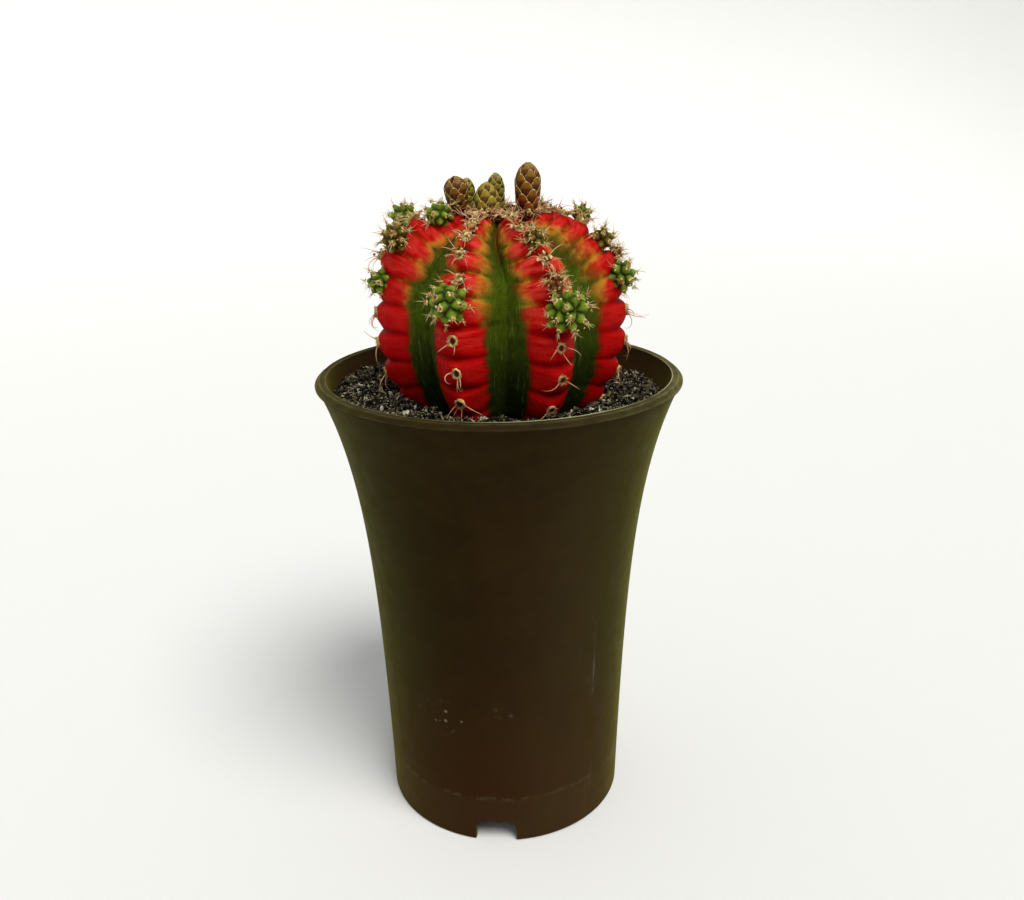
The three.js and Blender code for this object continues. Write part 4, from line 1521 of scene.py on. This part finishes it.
@dataclass
class Offset:
    """One offset: a ball of knobs, with a felt tip and short spines on each knob.

    Attributes:
        form: The globe's surface law.
        name: The offset's CAD node, without its offset_ start.
        rib, areole: Where it grows.
        radius: Its radius.
        stand: How far its middle lies off the rib's crest, if not a fifth of its radius.
        tint: Its colouring.
        turn: How far beside the crest it stands, in millimetres.
        knob_pitch: The distance between two knobs of a large offset.
        large: The radius from which an offset is large.
    """

    form: GlobeForm
    name: str
    rib: int
    areole: float
    radius: float
    stand: float | None = None
    tint: Tint = Tint.GREEN
    turn: float = 0.0
    knob_pitch: float = 3.5
    large: float = 4.5

    @cached_property
    def axes(self) -> tuple[Array, Array, Array, Array]:
        """Its middle, and its own outward, side and down directions."""
        point, outward, side, down = self.form.areole(self.rib, self.areole)
        off = 0.2 * self.radius if self.stand is None else self.stand
        return point + outward * off + side * self.turn, outward, side, down

    @property
    def seed(self) -> int:
        """A seed of its own, from its name."""
        return sum(ord(letter) * (i + 7) for i, letter in enumerate(self.name))

    @property
    def bulk(self) -> float:
        """Its radius beside a large offset's, at most 1."""
        return min(1.0, self.radius / self.large)

    @cached_property
    def knobs(self) -> Array:
        """The directions of its knobs: a golden spiral over the ball, a little uneven."""
        pitch = self.knob_pitch * (0.35 + 0.65 * self.bulk)
        count = max(16, round(4 * math.pi * self.radius**2 / (0.87 * pitch**2)))
        k = np.arange(count)
        up = (1 - (2 * k + 1) / count)[:, None]
        flat = np.sqrt(1 - up * up)
        _, outward, side, _ = self.axes
        grown = unit(outward + UP * 0.5)
        right = across(side, grown)
        spread = swung(k * GOLDEN_ANGLE + self.seed % 7, right, np.cross(grown, right))
        uneven = np.random.default_rng(self.seed).normal(0, 0.05, (count, 3))
        return unit(up * grown + flat * spread + uneven)

    def skin(self) -> Shape:
        """The ball: its radius in a direction falls from a knob's top to the crease round it. A point's
        share of the knob is 1 - 2 * d / (d + e), for its distances d to the nearest knob's direction and
        e to the next, so a crease runs half way between any two knobs."""
        middle, outward, side, down = self.axes
        rows, columns = (62, 92) if self.radius > 3.5 else (44, 64)
        polar = np.linspace(0, math.pi, rows)[:, None, None]
        ring = swung(around(columns)[None, :], side, -down)
        direction = -np.cos(polar) * outward + np.sin(polar) * ring
        facing = direction @ self.knobs.T
        which = np.argmax(facing, axis=-1)
        near = np.sort(np.arccos(np.clip(facing, -1, 1)), axis=-1)
        knob = 1 - 2 * near[..., 0] / (near[..., 0] + near[..., 1])
        draw = partial(np.random.default_rng(self.seed + 1).uniform, size=len(self.knobs))
        tall = draw(0.7, 1.1)[which]
        reach = self.radius * (1 - 0.4 * (1 - knob**0.62 * tall))
        values = {"knob": knob, "shade": draw(0, 1)[which]}
        return closed_strips(middle + direction * reach[..., None], values)

    def showing(self) -> Array:
        """The knobs that aren't against the rib."""
        return self.knobs[self.knobs @ self.axes[1] > -0.35]

    def felt(self) -> Shape:
        """A small felt cup at the tip of each knob that shows, and crumbs of felt close by."""
        middle, outward, _, _ = self.axes
        random = np.random.default_rng(self.seed + 2)
        share = 0.5 + 0.5 * self.bulk
        shapes = []
        crumbs = 3 if self.tint is Tint.GREEN else 7
        for kind, each, size, spread in ((FELT_CUPS, 1, 0.55, 0.1), (FELT_TUFTS, crumbs, 0.26, 0.5)):
            knobs = np.repeat(self.showing(), each, axis=0)
            count = len(knobs)
            away = unit(knobs * self.radius + random.normal(0, spread, (count, 3)) * share)
            at = middle + away * self.radius * random.uniform(0.95, 0.99, (count, 1))
            side = across(np.cross(outward, knobs) + 1e-3, knobs)
            sizes = size * random.uniform(0.6, 1.15, count) * share
            shade = random.choice([0.0, 0.0, 0.0, 0.3, 0.8], count)
            ring = 0.8 if each == 1 else 0.0
            shapes.append(kind.build(at, knobs, side, sizes, ring, shade, self.seed + each))
        return Shape.joined(shapes)

    def spines(self) -> Shape:
        """Short spines on each knob that shows, more and longer ones where the offset is nearly all felt
        or stands high on the plant."""
        random = np.random.default_rng(self.seed + 4)
        bristly = self.tint is not Tint.GREEN or self.areole > 5
        each, longest = (8, 3.4) if bristly else (5, 2.6)
        knobs = np.repeat(self.showing(), each, axis=0)
        count = len(knobs)
        draw = partial(random.uniform, size=count)
        foot = self.axes[0] + knobs * self.radius * 0.98
        aim = unit(knobs + random.normal(0, 0.5, (count, 3)))
        bend = random.normal(size=(count, 3)) - UP * 0.4
        length, radius = draw(0.8, longest) * (0.7 + 0.3 * self.bulk), draw(0.06, 0.095)
        turns = draw(0.0, 0.7), draw(0.0, 0.7)
        return Strands(steps=5, sides=3).build(foot, aim, bend, length, radius, *turns, draw(0, 1))

    def build(self, material: Material) -> None:
        """Makes the ball. Its felt and spines are made with those of the other offsets."""
        node = f"offset_{self.name}"
        make_piece(f"{node}_skin", self.skin(), material, Slot.OFFSET, [node])


def offsets_of(form: GlobeForm) -> list[Offset]:
    """The plant's offsets.

    Args:
        form: The globe's surface law.

    Returns:
        One for each offset that the CAD model has.
    """
    grow, cream, russet = partial(Offset, form), Tint.CREAM, Tint.RUSSET
    return [
        grow("front_left", 1, 3.2, 4.6, turn=-1.6),
        grow("front_right", 2, 3.15, 5.0, turn=0.9),
        grow("front_right_upper", 2, 4.1, 2.2, tint=russet, turn=0.3),
        grow("left", 0, 3.1, 3.2, -0.4, turn=1.8),
        grow("right", 3, 3.25, 4.0, 0.2, turn=-1.2),
        grow("back", 5, 3, 4.6),
        grow("back_right_low", 4, 2, 3.9),
        grow("back_left_low", 6, 2, 4.1),
        grow("left_shoulder", 0, 4.85, 3.4, -0.6, tint=cream, turn=3.2),
        grow("left_top", 0, 7, 3.3, -0.1, turn=2.4),
        grow("back_left_shoulder", 6, 5.1, 3.7, 3.0, turn=2.6),
        grow("back_left_top", 6, 7, 3.2, -1.1),
        grow("front_right_top", 2, 6, 2.4, tint=cream),
        grow("right_upper", 3, 4.1, 1.7, tint=russet),
        grow("right_shoulder", 3, 4.85, 2.8, -0.3, tint=cream, turn=-1.6),
        grow("back_right_top", 4, 5.6, 2.7, 2.7),
        grow("crown", 4, 8, 1.7),
        grow("back_top", 5, 5, 2.9, tint=cream),
    ]


# ---- buds ----


@dataclass(frozen=True)
class BudScale(Finish):
    """Bud scales: brown at the bud's foot and olive above, with a pale tan rim on each.

    Attributes:
        foot, top, rim, shadow: Its colours. The last one is painted shade at a scale's foot, between two
        others, and rim is also a painted highlight towards the bud's tip.
        turn: The share of the bud's height where brown gives way to olive.
    """

    foot: Colour = paint(144, 66, 14)
    top: Colour = paint(108, 98, 32)
    rim: Colour = paint(232, 212, 138)
    shadow: Colour = paint(40, 18, 5)
    turn: float = 0.5

    def dress(self, nodes: Nodes) -> Sockets:
        """Climb picks brown or olive, rim the edge, and shade varies scale from scale. Up_scale paints shade
        at each scale's foot, and climb a painted highlight towards the tip.
        """
        patch = nodes.noise(nodes.place(), 700.0, 3.0)
        level = nodes.plus(nodes.value("climb"), nodes.swing(patch, 0.5))
        colour = nodes.layers(
            self.foot,
            (nodes.remap(level, self.turn - 0.25, self.turn + 0.25), self.top),
            (nodes.times(nodes.value("shade"), 0.3), self.foot),
            # painted shade at each scale's foot, under the scale below it
            (nodes.remap(nodes.value("up_scale"), 0.6, 0.36, 0.0, 0.85), self.shadow),
            # painted highlight towards the bud's tip, in the rim's colour
            (nodes.remap(level, 0.78, 1.15, 0.0, 0.35), self.rim),
            (nodes.remap(nodes.value("rim"), 0.72, 0.9), self.rim),
        )
        colour, height = nodes.mottled(colour, self.foot, 1100.0, 0.35)
        return {"Base Color": colour, "Normal": nodes.bump(height, 0.35, 0.15)}


@dataclass
class FlowerBud:
    """A closed bud: overlapping pointed scales in a golden spiral over an egg-shaped core.

    Attributes:
        name: The bud's CAD node.
        radius: Its largest radius.
        lean: How far its tip leans towards +X, in degrees.
        finish: Its colours.
        waist: Its radius at the foot, as a share of the largest.
        peak: The share of its height where it is widest.
        scale_length: A scale's length, as a share of the bud's radius.
        spread: How wide a scale is, as an angle round the bud.
    """

    name: str
    radius: float
    lean: float
    finish: BudScale
    waist: float = 0.68
    peak: float = 0.5
    scale_length: float = 1.15
    spread: float = 0.68

    @cached_property
    def stem(self) -> tuple[Array, Array, float]:
        """Its foot, its axis and its height, from its CAD solid's box."""
        low, high = (np.array(corner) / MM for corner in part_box(self.name))
        height = float(high[2] - low[2])
        lean = math.radians(self.lean)
        axis = np.array([math.sin(lean), 0, math.cos(lean)])
        return (low + high) / 2 - axis * height / 2, axis, height

    def girth(self, climb: Array) -> Array:
        """The core's radius at a share of the height: a parabola up to the widest level, and a rounded
        point above it."""
        below = 1 - (1 - self.waist) * (1 - climb / self.peak) ** 2
        above = np.maximum(0, 1 - (np.maximum(climb - self.peak, 0) / (1 - self.peak)) ** 2.1) ** 0.62
        return self.radius * np.where(climb < self.peak, below, above)

    def placed(self, angle: Array, climb: Array, out: Array) -> Array:
        """Points round the bud's axis.

        Args:
            angle: Each one's angle round the axis.
            climb: Its share of the bud's height.
            out: Its distance from the axis.

        Returns:
            The points.
        """
        foot, axis, height = self.stem
        right = np.array([axis[2], 0, -axis[0]])
        return foot + axis * (climb * height)[..., None] + swung(angle, right, BACK) * out[..., None]

    def core(self) -> Shape:
        """The egg-shaped core that the scales lie on."""
        climb = np.linspace(0, 0.97, 16)[:, None]
        out = self.girth(climb) * 0.9 * (climb < 0.97)
        out[0] = 0
        zero = np.zeros((1, 1))
        # the core shows only between scales, so it takes the painted shade in full
        values = {"climb": climb * 0.6, "rim": zero, "shade": zero + 1, "up_scale": zero}
        return closed_strips(self.placed(around(20)[None, :], climb, out), values)

    def scales(self) -> Shape:
        """The scales. Each is a flattened tube that lies on the core and ends in a point: at a share t
        of its length its half width is a power of 1 - t, and it lifts off the core as t grows, so that
        the lower scales overlap the feet of the upper ones."""
        length = self.scale_length * self.radius / self.stem[2]
        count = int(round(5.2 / (length * 0.62)))
        k = np.arange(count)[:, None, None]
        t = np.linspace(0, 1, 9)[None, :, None]
        u = around(14)[None, None, :]
        base = (k / count) ** 0.95 * (1.0 - 0.42 * length) - 0.02
        climb = np.minimum(base + length * t, 0.99 + 0.02 * t)
        core = self.girth(np.clip(climb, 0.02, 0.995))
        waisted = 0.72 + 0.28 * np.sin(math.pi * np.minimum(1, t / 0.7))
        wide = self.spread * waisted * (1 - t**3.4) ** 0.55 * (t > 0)
        near_tip = np.clip(self.radius * 0.45 / np.maximum(core, 0.3), 0.85, 1.7)
        across_scale = np.cos(u)
        angle = k * GOLDEN_ANGLE + across_scale * wide * near_tip
        lift = (0.04 + 0.3 * t + 0.1 * t**3) * (0.25 + 0.75 * core / self.radius)
        belly = (1 - across_scale**2) * 0.16 * (1 - t)
        thick = 0.14 * np.sin(u) * (1 - t**3)
        rim = np.maximum(np.abs(across_scale) ** 2.5 * (t > 0.1), t**3)
        shade = np.random.default_rng(len(self.name)).uniform(0, 1, count)[:, None, None]
        values = {"climb": climb, "rim": rim, "shade": shade, "up_scale": t}
        points = self.placed(angle, climb, core * 0.97 + lift + belly + thick)
        return closed_strips(points, values)

    def build(self) -> None:
        """Makes the bud."""
        shape = Shape.joined([self.core(), self.scales()])
        make_piece(f"{self.name}_scales", shape, self.finish.material(), Slot.BUD, [self.name])


def flower_buds() -> list[FlowerBud]:
    """The plant's buds."""
    brown = BudScale("bud_brown", 0.55, 0.12, top=paint(100, 84, 26), turn=0.3)
    olive = BudScale("bud_olive", 0.5, 0.12, top=paint(146, 146, 42), turn=0.2)
    fresh = BudScale("bud_green", 0.5, 0.12, top=paint(112, 138, 32), turn=0.1)
    tall = BudScale("bud_tall", 0.55, 0.12, top=paint(120, 96, 24), turn=0.45)
    return [
        FlowerBud("flower_bud_left", 2.35, -4, brown, waist=0.1, peak=0.7),
        FlowerBud("flower_bud_left_rear", 1.9, 6, fresh),
        FlowerBud("flower_bud_front", 2.5, -3, olive, waist=0.72, peak=0.46),
        FlowerBud("flower_bud_rear", 1.75, 0, fresh, peak=0.6),
        FlowerBud("flower_bud_right", 2.6, 2, tall, waist=0.6, peak=0.62),
    ]


@dataclass
class CrownWool:
    """The crown's middle: a mat of wool and dried spines between the buds.

    Attributes:
        form: The globe's surface law.
        reach: How far it spreads from the crown's middle.
        fibres, crumbs, prickles: How many wool fibres, felt crumbs and dried spines it has.
    """

    form: GlobeForm
    reach: float = 8.5
    fibres: int = 800
    crumbs: int = 700
    prickles: int = 300

    def on_crown(self, flat: Array, out: Array, sunk: float) -> Array:
        """Places on the crown.

        Args:
            flat, out: Their horizontal directions and distances from its middle.
            sunk: How far they lie under the outline.

        Returns:
            The places.
        """
        foot = flat * out[:, None]
        foot[:, 0] += self.form.centre_x
        foot[:, 2] = self.form.crown_height(np.abs(out)) - sunk
        return foot

    def mat(self) -> Shape:
        """Curly wool fibres and felt crumbs, scattered evenly over the crown by a golden spiral. Many are
        dark: dried brown wool, and painted shade in the gaps of the mat.
        """
        random = np.random.default_rng(77)
        count, crumbs = self.fibres, self.crumbs
        draw = partial(random.uniform, size=count)
        k = np.arange(count)
        out = self.reach * np.sqrt((k + 0.5) / count) + random.normal(0, 0.2, count)
        flat = swung(k * GOLDEN_ANGLE, RIGHT, BACK)
        foot = self.on_crown(flat, out, 0.6)
        foot[:, 2] += draw(0, 1.2) * (1 - out / self.reach / 1.3)
        aim = random.normal(size=(count, 3)) * 0.8 + UP + flat * 0.4
        bend = random.normal(size=(count, 3))
        length, radius, turns = draw(1.0, 2.6), draw(0.06, 0.12), (draw(0.3, 2.4), draw(0, 2.4))
        # the dark fibres are dried brown wool and painted shade in the mat's gaps
        shade = random.choice([0.0, 0.7, 1.5, 1.5, 1.5], count)
        style = Strands(steps=6, sides=3, taper=0.35)
        wool = style.hairs(foot, aim, bend, length, radius, *turns, shade)

        pick = random.choice(count, crumbs, replace=False)
        outward = unit(aim[pick] + UP * 1.5)
        side = across(random.normal(size=(crumbs, 3)), outward)
        at = foot[pick] + random.uniform(0.3, 1.3, (crumbs, 1)) * UP
        sizes = random.uniform(0.2, 0.6, crumbs)
        # the dark crumbs are dried brown remains and painted shade between the spines
        shade = random.choice([0.0, 0.0, 0.6, 1.5, 1.5, 1.5, 1.5], crumbs)
        return Shape.joined([wool, FELT_TUFTS.build(at, outward, side, sizes, 0.0, shade, 78)])

    def spines(self) -> Shape:
        """Dried spines that stand out of the mat and lean away from the crown's middle."""
        random = np.random.default_rng(79)
        count = self.prickles
        draw = partial(random.uniform, size=count)
        out = self.reach * np.sqrt(draw(0.12, 1.35))
        flat = swung(np.arange(count) * GOLDEN_ANGLE, RIGHT, BACK)
        foot = self.on_crown(flat, out, 0.3)
        aim = flat * draw(0.2, 1.4)[:, None] + random.normal(0, 0.7, (count, 3))
        aim[:, 2] = np.abs(aim[:, 2]) + 0.5
        bend = random.normal(size=(count, 3)) - UP * 0.5
        length, radius, turns = draw(1.4, 3.8), draw(0.07, 0.12), (draw(0.1, 1.2), draw(0.0, 1.4))
        shade = random.choice([0.0, 0.4, 1.6], count)
        return Strands(steps=7, sides=3).build(foot, aim, bend, length, radius, *turns, shade)

    def build(self, felt: Material, horn: Material) -> None:
        """Makes the mat, which stands for the crown's wool, and its spines."""
        make_piece("crown_wool_mat", self.mat(), felt, Slot.WOOL, ["crown_wool"])
        make_piece("crown_spines", self.spines(), horn, Slot.SPINES, [])


# ---- grit ----


@dataclass(frozen=True)
class GritStone(Finish):
    """Crushed dark grit with paler grey grains and dusty faces.

    Attributes:
        dark, grey, pale: Its colours.
    """

    dark: Colour = paint(12, 9, 4)
    grey: Colour = paint(96, 88, 62)
    pale: Colour = paint(226, 220, 188)

    def dress(self, nodes: Nodes) -> Sockets:
        """Shade makes a grain dark, grey or pale, and dust lies on it in specks."""
        shade = nodes.value("shade")
        colour = nodes.mix(nodes.remap(shade, 0.35, 0.8), self.dark, self.grey)
        colour = nodes.mix(nodes.remap(shade, 0.88, 0.99), colour, self.pale)
        colour, height = nodes.mottled(colour, self.dark, 700.0, 0.7)
        dust = nodes.group(SPECKS, vector=nodes.place(), scale=2200.0, size=0.55, rarity=0.36)
        colour = nodes.mix(nodes.times(dust.outputs["Mask"], 0.75), colour, self.pale)
        return {"Base Color": colour, "Normal": nodes.bump(height, 0.5, 0.25)}


@dataclass
class GritBed:
    """The potting mix: a lumpy bed in the pot, loose grains on it and a few husks.

    Attributes:
        pot: The pot that it fills.
        form: The globe that stands in it.
        top, tilt, lump: The bed's height, its fall towards +X and its lumps, as the CAD solid has them.
        sunk: How far the bed's own surface lies under the grains' mean height.
        clearance: The room left to the pot's wall.
        grains, husks: How many places are tried for them.
    """

    pot: PotShell
    form: GlobeForm
    top: float = 105.6
    tilt: float = 0.022
    lump: float = 0.45
    sunk: float = 0.7
    clearance: float = 0.35
    grains: int = 6400
    husks: int = 900

    def height(self, x: Array, y: Array) -> Array:
        """How high the grit stands: a slope with lumps made of sine waves."""
        lumps = np.sin(0.61 * x + 1.3) * np.cos(0.53 * y) + np.sin(0.37 * (x - y))
        return self.top - self.tilt * x + self.lump * lumps

    @cached_property
    def rim(self) -> float:
        """The bed's radius at its top."""
        return float(self.pot.inner(self.top)) - self.clearance

    def bed(self) -> Shape:
        """The bed's surface, turned round Z: its underside, its wall and its top. Under the globe the top
        follows the ellipse of the globe's belly, a little below it."""
        azimuth = around(180, 360)
        bottom = self.pot.floor + self.pot.floor_thickness + self.clearance
        walls = np.concatenate([[bottom], np.linspace(16, 86, 12), np.linspace(89, self.top - 1.5, 8)])
        wall = self.pot.inner(walls) - self.clearance
        surface = self.rim * np.linspace(1, 0, 56) ** 0.8
        radius = np.concatenate([[0.0, 0.6 * wall[0]], wall, surface])
        base = np.concatenate([[bottom, bottom], walls, np.full(len(surface), self.top)])
        points = radius[:, None, None] * towards(azimuth)
        x, y = points[..., 0], points[..., 1]
        high = np.arange(len(radius))[:, None] >= len(radius) - len(surface)
        near = np.hypot(x - self.form.centre_x, y)
        hull = self.form.girth(azimuth, self.top) * 1.06
        belly = self.form.belly * np.sqrt(np.maximum(0, 1 - (near / hull) ** 2))
        under = np.where(near < hull, self.form.equator - belly - 1.0, np.inf)
        grit = self.height(x, y) - self.sunk + 0.3 * ripple(points, 2.4, 9)
        points[..., 2] = np.where(high, np.minimum(grit, under), base[:, None])
        return closed_strips(points, {"shade": 0.25 + 0.25 * ripple(points, 1.5, 10)})

    def places(self, count: int, seed: int, room: float) -> tuple[Array, np.random.Generator]:
        """Seeded places on the bed, clear of the pot's wall and of the globe.

        Args:
            count: How many are tried.
            seed: Picks them.
            room: The room that each needs beside it.

        Returns:
            The places that are clear, on the bed's height, and the random numbers to go on with.
        """
        random = np.random.default_rng(seed)
        out = self.rim * np.sqrt(random.uniform(0.15, 1, count))
        flat = towards(random.uniform(0, 360, count)) * out[:, None]
        x, y = flat[:, 0] - self.form.centre_x, flat[:, 1]
        hull = self.form.girth(np.degrees(np.arctan2(x, -y)), self.top)
        flat = flat[(np.hypot(x, y) > hull + room * 0.2) & (out < self.rim - room)]
        flat[:, 2] = self.height(flat[:, 0], flat[:, 1])
        return flat, random

    def scattered(self, places: Array, random: np.random.Generator, size: Array, lying: float) -> Shape:
        """Angular grains: each is a twenty-faced solid, stretched, turned and dented at random.

        Args:
            places: Where they lie.
            random: The random numbers to use.
            size: Half of each grain's length, width and thickness.
            lying: From 0, turned any way, to 1, lying flat.

        Returns:
            The grains, with the shade of each.
        """
        golden = (1 + math.sqrt(5)) / 2
        corner = np.array([[0, a, b * golden] for a in (-1, 1) for b in (-1, 1)])
        corner = unit(np.concatenate([np.roll(corner, -turn, axis=1) for turn in range(3)]))
        apart = np.linalg.norm(corner[:, None] - corner[None], axis=-1)
        joined = (apart > 0.1) & (apart < 1.2)
        i, j, k = np.where(joined[:, :, None] & joined[None] & joined[:, None, :])
        face = np.stack([i, j, k], axis=-1)[(i < j) & (i < k) & (j != k)]
        first, second, third = (corner[face[:, side]] for side in range(3))
        face = face[(np.cross(second - first, third - first) * first).sum(-1) > 0]
        count = len(places)
        dented = corner[None] * random.uniform(0.72, 1.18, (count, 12, 1)) * size[:, None]
        up = unit(random.normal(size=(count, 3)) * (1 - lying) + UP * lying)
        long = across(random.normal(size=(count, 3)), up)
        turn = np.stack([long, np.cross(up, long), up], axis=1)
        points = places[:, None] + np.einsum("nci,nij->ncj", dented, turn)
        faces = face[:, [0, 1, 2, 2]] + (np.arange(count) * 12)[:, None, None]
        shade = np.repeat(random.uniform(0, 1, count), 12)
        return Shape(points.reshape(-1, 3), faces.reshape(-1, 4), {"shade": shade})

    def loose_grains(self) -> Shape:
        """The grains that show."""
        places, random = self.places(self.grains, 21, 1.0)
        draw = partial(random.uniform, size=len(places))
        places[:, 2] += draw(-0.9, 0.35)
        length = draw(0.42, 0.95) * random.choice([0.7, 1.0, 1.15], len(places))
        size = np.stack([length, length * draw(0.4, 0.8), length * 0.45], axis=-1)
        return self.scattered(places, random, size, 0.45)

    def loose_husks(self) -> Shape:
        """Long thin husks and bark chips."""
        places, random = self.places(self.husks, 22, 1.6)
        draw = partial(random.uniform, size=len(places))
        places[:, 2] += draw(-0.2, 0.4)
        length = draw(0.6, 1.5) * random.choice([0.8, 1.0, 1.3], len(places))
        size = np.stack([length, length * 0.2, 0 * length + 0.16], axis=-1)
        return self.scattered(places, random, size, 0.7)

    def build(self, finish: GritStone) -> None:
        """Makes the bed, the grains and the husks."""
        stone = finish.material()
        make_piece("grit_bed", self.bed(), stone, Slot.GRIT, ["potting_mix"])
        make_piece("grit_grains", self.loose_grains(), stone, Slot.GRIT, [], smooth=False)
        husk = GritStone("grit_husk", 0.85, 0.2, dark=paint(38, 28, 16), grey=paint(168, 152, 118))
        make_piece("grit_husks", self.loose_husks(), husk.material(), Slot.GRIT, [], smooth=False)


# ---- studio ----


@dataclass(frozen=True)
class Backdrop(Finish):
    """Plain pale paper.

    Attributes:
        colour: Its colour.
    """

    colour: Colour = paint(238, 238, 236)

    def dress(self, nodes: Nodes) -> Sockets:
        """One pale colour."""
        return {"Base Color": self.colour}


@dataclass
class Studio:
    """The camera, the floor and the lights.

    Attributes:
        lens: The camera's focal length on a 36 mm wide sensor.
        camera_place: Where the camera stands.
        yaw, pitch, roll: How it is turned from facing +Y: to the right, down and about its own axis.
        floor_radius, wall_height, bend: The round floor, the wall that it curves up into, and the
            radius of that curve, in metres.
        sun_azimuth, sun_elevation: Where the key light comes from, in degrees.
        sun_spread, sun_strength: How wide it looks in degrees, which softens its shadows, and its power.
        sky_strength: How bright the surroundings are.
        sun_colour, sky_colour: The colours of both.
    """

    lens: float = 34.63
    camera_place: tuple[float, float, float] = (0.0, -223.44, 168.63)
    yaw: float = 0.7166
    pitch: float = 19.357
    roll: float = -0.739
    floor_radius: float = 1.6
    wall_height: float = 1.3
    bend: float = 0.5
    sun_azimuth: float = 33.0
    sun_elevation: float = 58.0
    sun_spread: float = 32.0
    sun_strength: float = 2.5
    sky_strength: float = 0.36
    sun_colour: tuple[float, float, float] = (1.0, 0.985, 0.95)
    sky_colour: Colour = (0.93, 0.96, 1.0, 1.0)

    def camera(self) -> None:
        """Makes the camera."""
        data = bpy.data.cameras.new("camera")
        data.sensor_width = 36.0
        data.lens = self.lens
        data.clip_start = 0.01
        camera = link("camera", data)
        camera.location = [length * MM for length in self.camera_place]
        turns = ((-self.yaw, "Z"), (90 - self.pitch, "X"), (self.roll, "Z"))
        yaw, pitch, roll = (Matrix.Rotation(math.radians(angle), 3, axis) for angle, axis in turns)
        camera.rotation_euler = (yaw @ pitch @ roll).to_euler("XYZ")
        bpy.context.scene.camera = camera

    def floor(self) -> None:
        """Makes the floor: a disc that curves up into a low round wall. Its section is flat to most of its
        radius, then a quarter circle, then straight up."""
        angle = np.linspace(0, math.pi / 2, 16)[1:]
        level = self.floor_radius - self.bend
        flat = np.linspace(0, level, 24)
        radius = np.concatenate([flat, level + self.bend * np.sin(angle), [self.floor_radius]])
        height = np.concatenate([0 * flat, self.bend * (1 - np.cos(angle)), [self.wall_height]])
        columns = 96
        points = (radius[:, None, None] * towards(around(columns, 360))).reshape(-1, 3)
        points[:, 2] = np.repeat(height, columns) - 0.05 * MM
        faces = ring_faces(len(radius), columns)[:, [0, 3, 2, 1]]
        mesh = bpy.data.meshes.new("floor")
        mesh.from_pydata(points.tolist(), [], faces.tolist())
        mesh.validate()
        mesh.polygons.foreach_set("use_smooth", np.full(len(mesh.polygons), True))
        mesh.materials.append(Backdrop("backdrop", roughness=0.9, specular=0.1).material())
        link("floor", mesh)

    def lights(self) -> None:
        """Makes the soft key light, which comes from far away, and the pale surroundings."""
        data = bpy.data.lights.new("key", "SUN")
        data.energy = self.sun_strength
        data.angle = math.radians(self.sun_spread)
        data.color = self.sun_colour
        light = link("key", data)
        light.location = (0.3, -0.6, 1.0)
        light.rotation_euler = (math.radians(90 - self.sun_elevation), 0, math.radians(self.sun_azimuth))
        world = bpy.data.worlds.new("surroundings")
        world.use_nodes = True
        sky = {"Color": self.sky_colour, "Strength": self.sky_strength}
        Nodes(world.node_tree).feed(world.node_tree.nodes["Background"], sky)
        bpy.context.scene.world = world
        bpy.context.scene.view_settings.view_transform = "Standard"

    def build(self) -> None:
        """Makes all of it."""
        self.camera()
        self.floor()
        self.lights()


# ---- build ----


def main() -> None:
    """Builds the object and its studio in order."""
    logging.basicConfig(level=logging.INFO, format="%(message)s")
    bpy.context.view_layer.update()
    belly_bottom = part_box("plant_body")[0][2] / MM
    form = GlobeForm(equator=belly_bottom + GlobeForm.belly)
    pot = PotShell(height=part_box("pot")[1][2] / MM)
    Studio().build()
    pot.build(PotPlastic("pot_plastic", specular=0.03))
    GritBed(pot, form).build(GritStone("grit_stone", 0.8, 0.12))
    Globe(form).build(GlobeSkin("globe_skin", specular=0.03))

    felt = Felt("areole_felt", 0.9, 0.05).material()
    horn = SpineHorn("spine_horn", 0.5, 0.12).material()
    offsets = offsets_of(form)
    for rib in range(len(form.ribs)):
        taken = tuple(offset.areole for offset in offsets if offset.rib == rib)
        RibAreoles(form, rib, taken).build(felt, horn)

    skins = {tint: tint.value.material() for tint in Tint}
    for offset in offsets:
        offset.build(skins[offset.tint])
    tips = Shape.joined([offset.felt() for offset in offsets])
    make_piece("offset_felt_tips", tips, felt, Slot.WOOL, [])
    prickles = Shape.joined([offset.spines() for offset in offsets])
    pale = {"base": paint(168, 122, 60), "pale": paint(246, 232, 170), "tip": paint(150, 84, 40)}
    pale_horn = SpineHorn("offset_horn", 0.5, 0.12, **pale).material()
    make_piece("offset_spines", prickles, pale_horn, Slot.SPINES, [])

    for bud in flower_buds():
        bud.build()
    CrownWool(form).build(felt, horn)


if __name__ == "__main__":
    main()
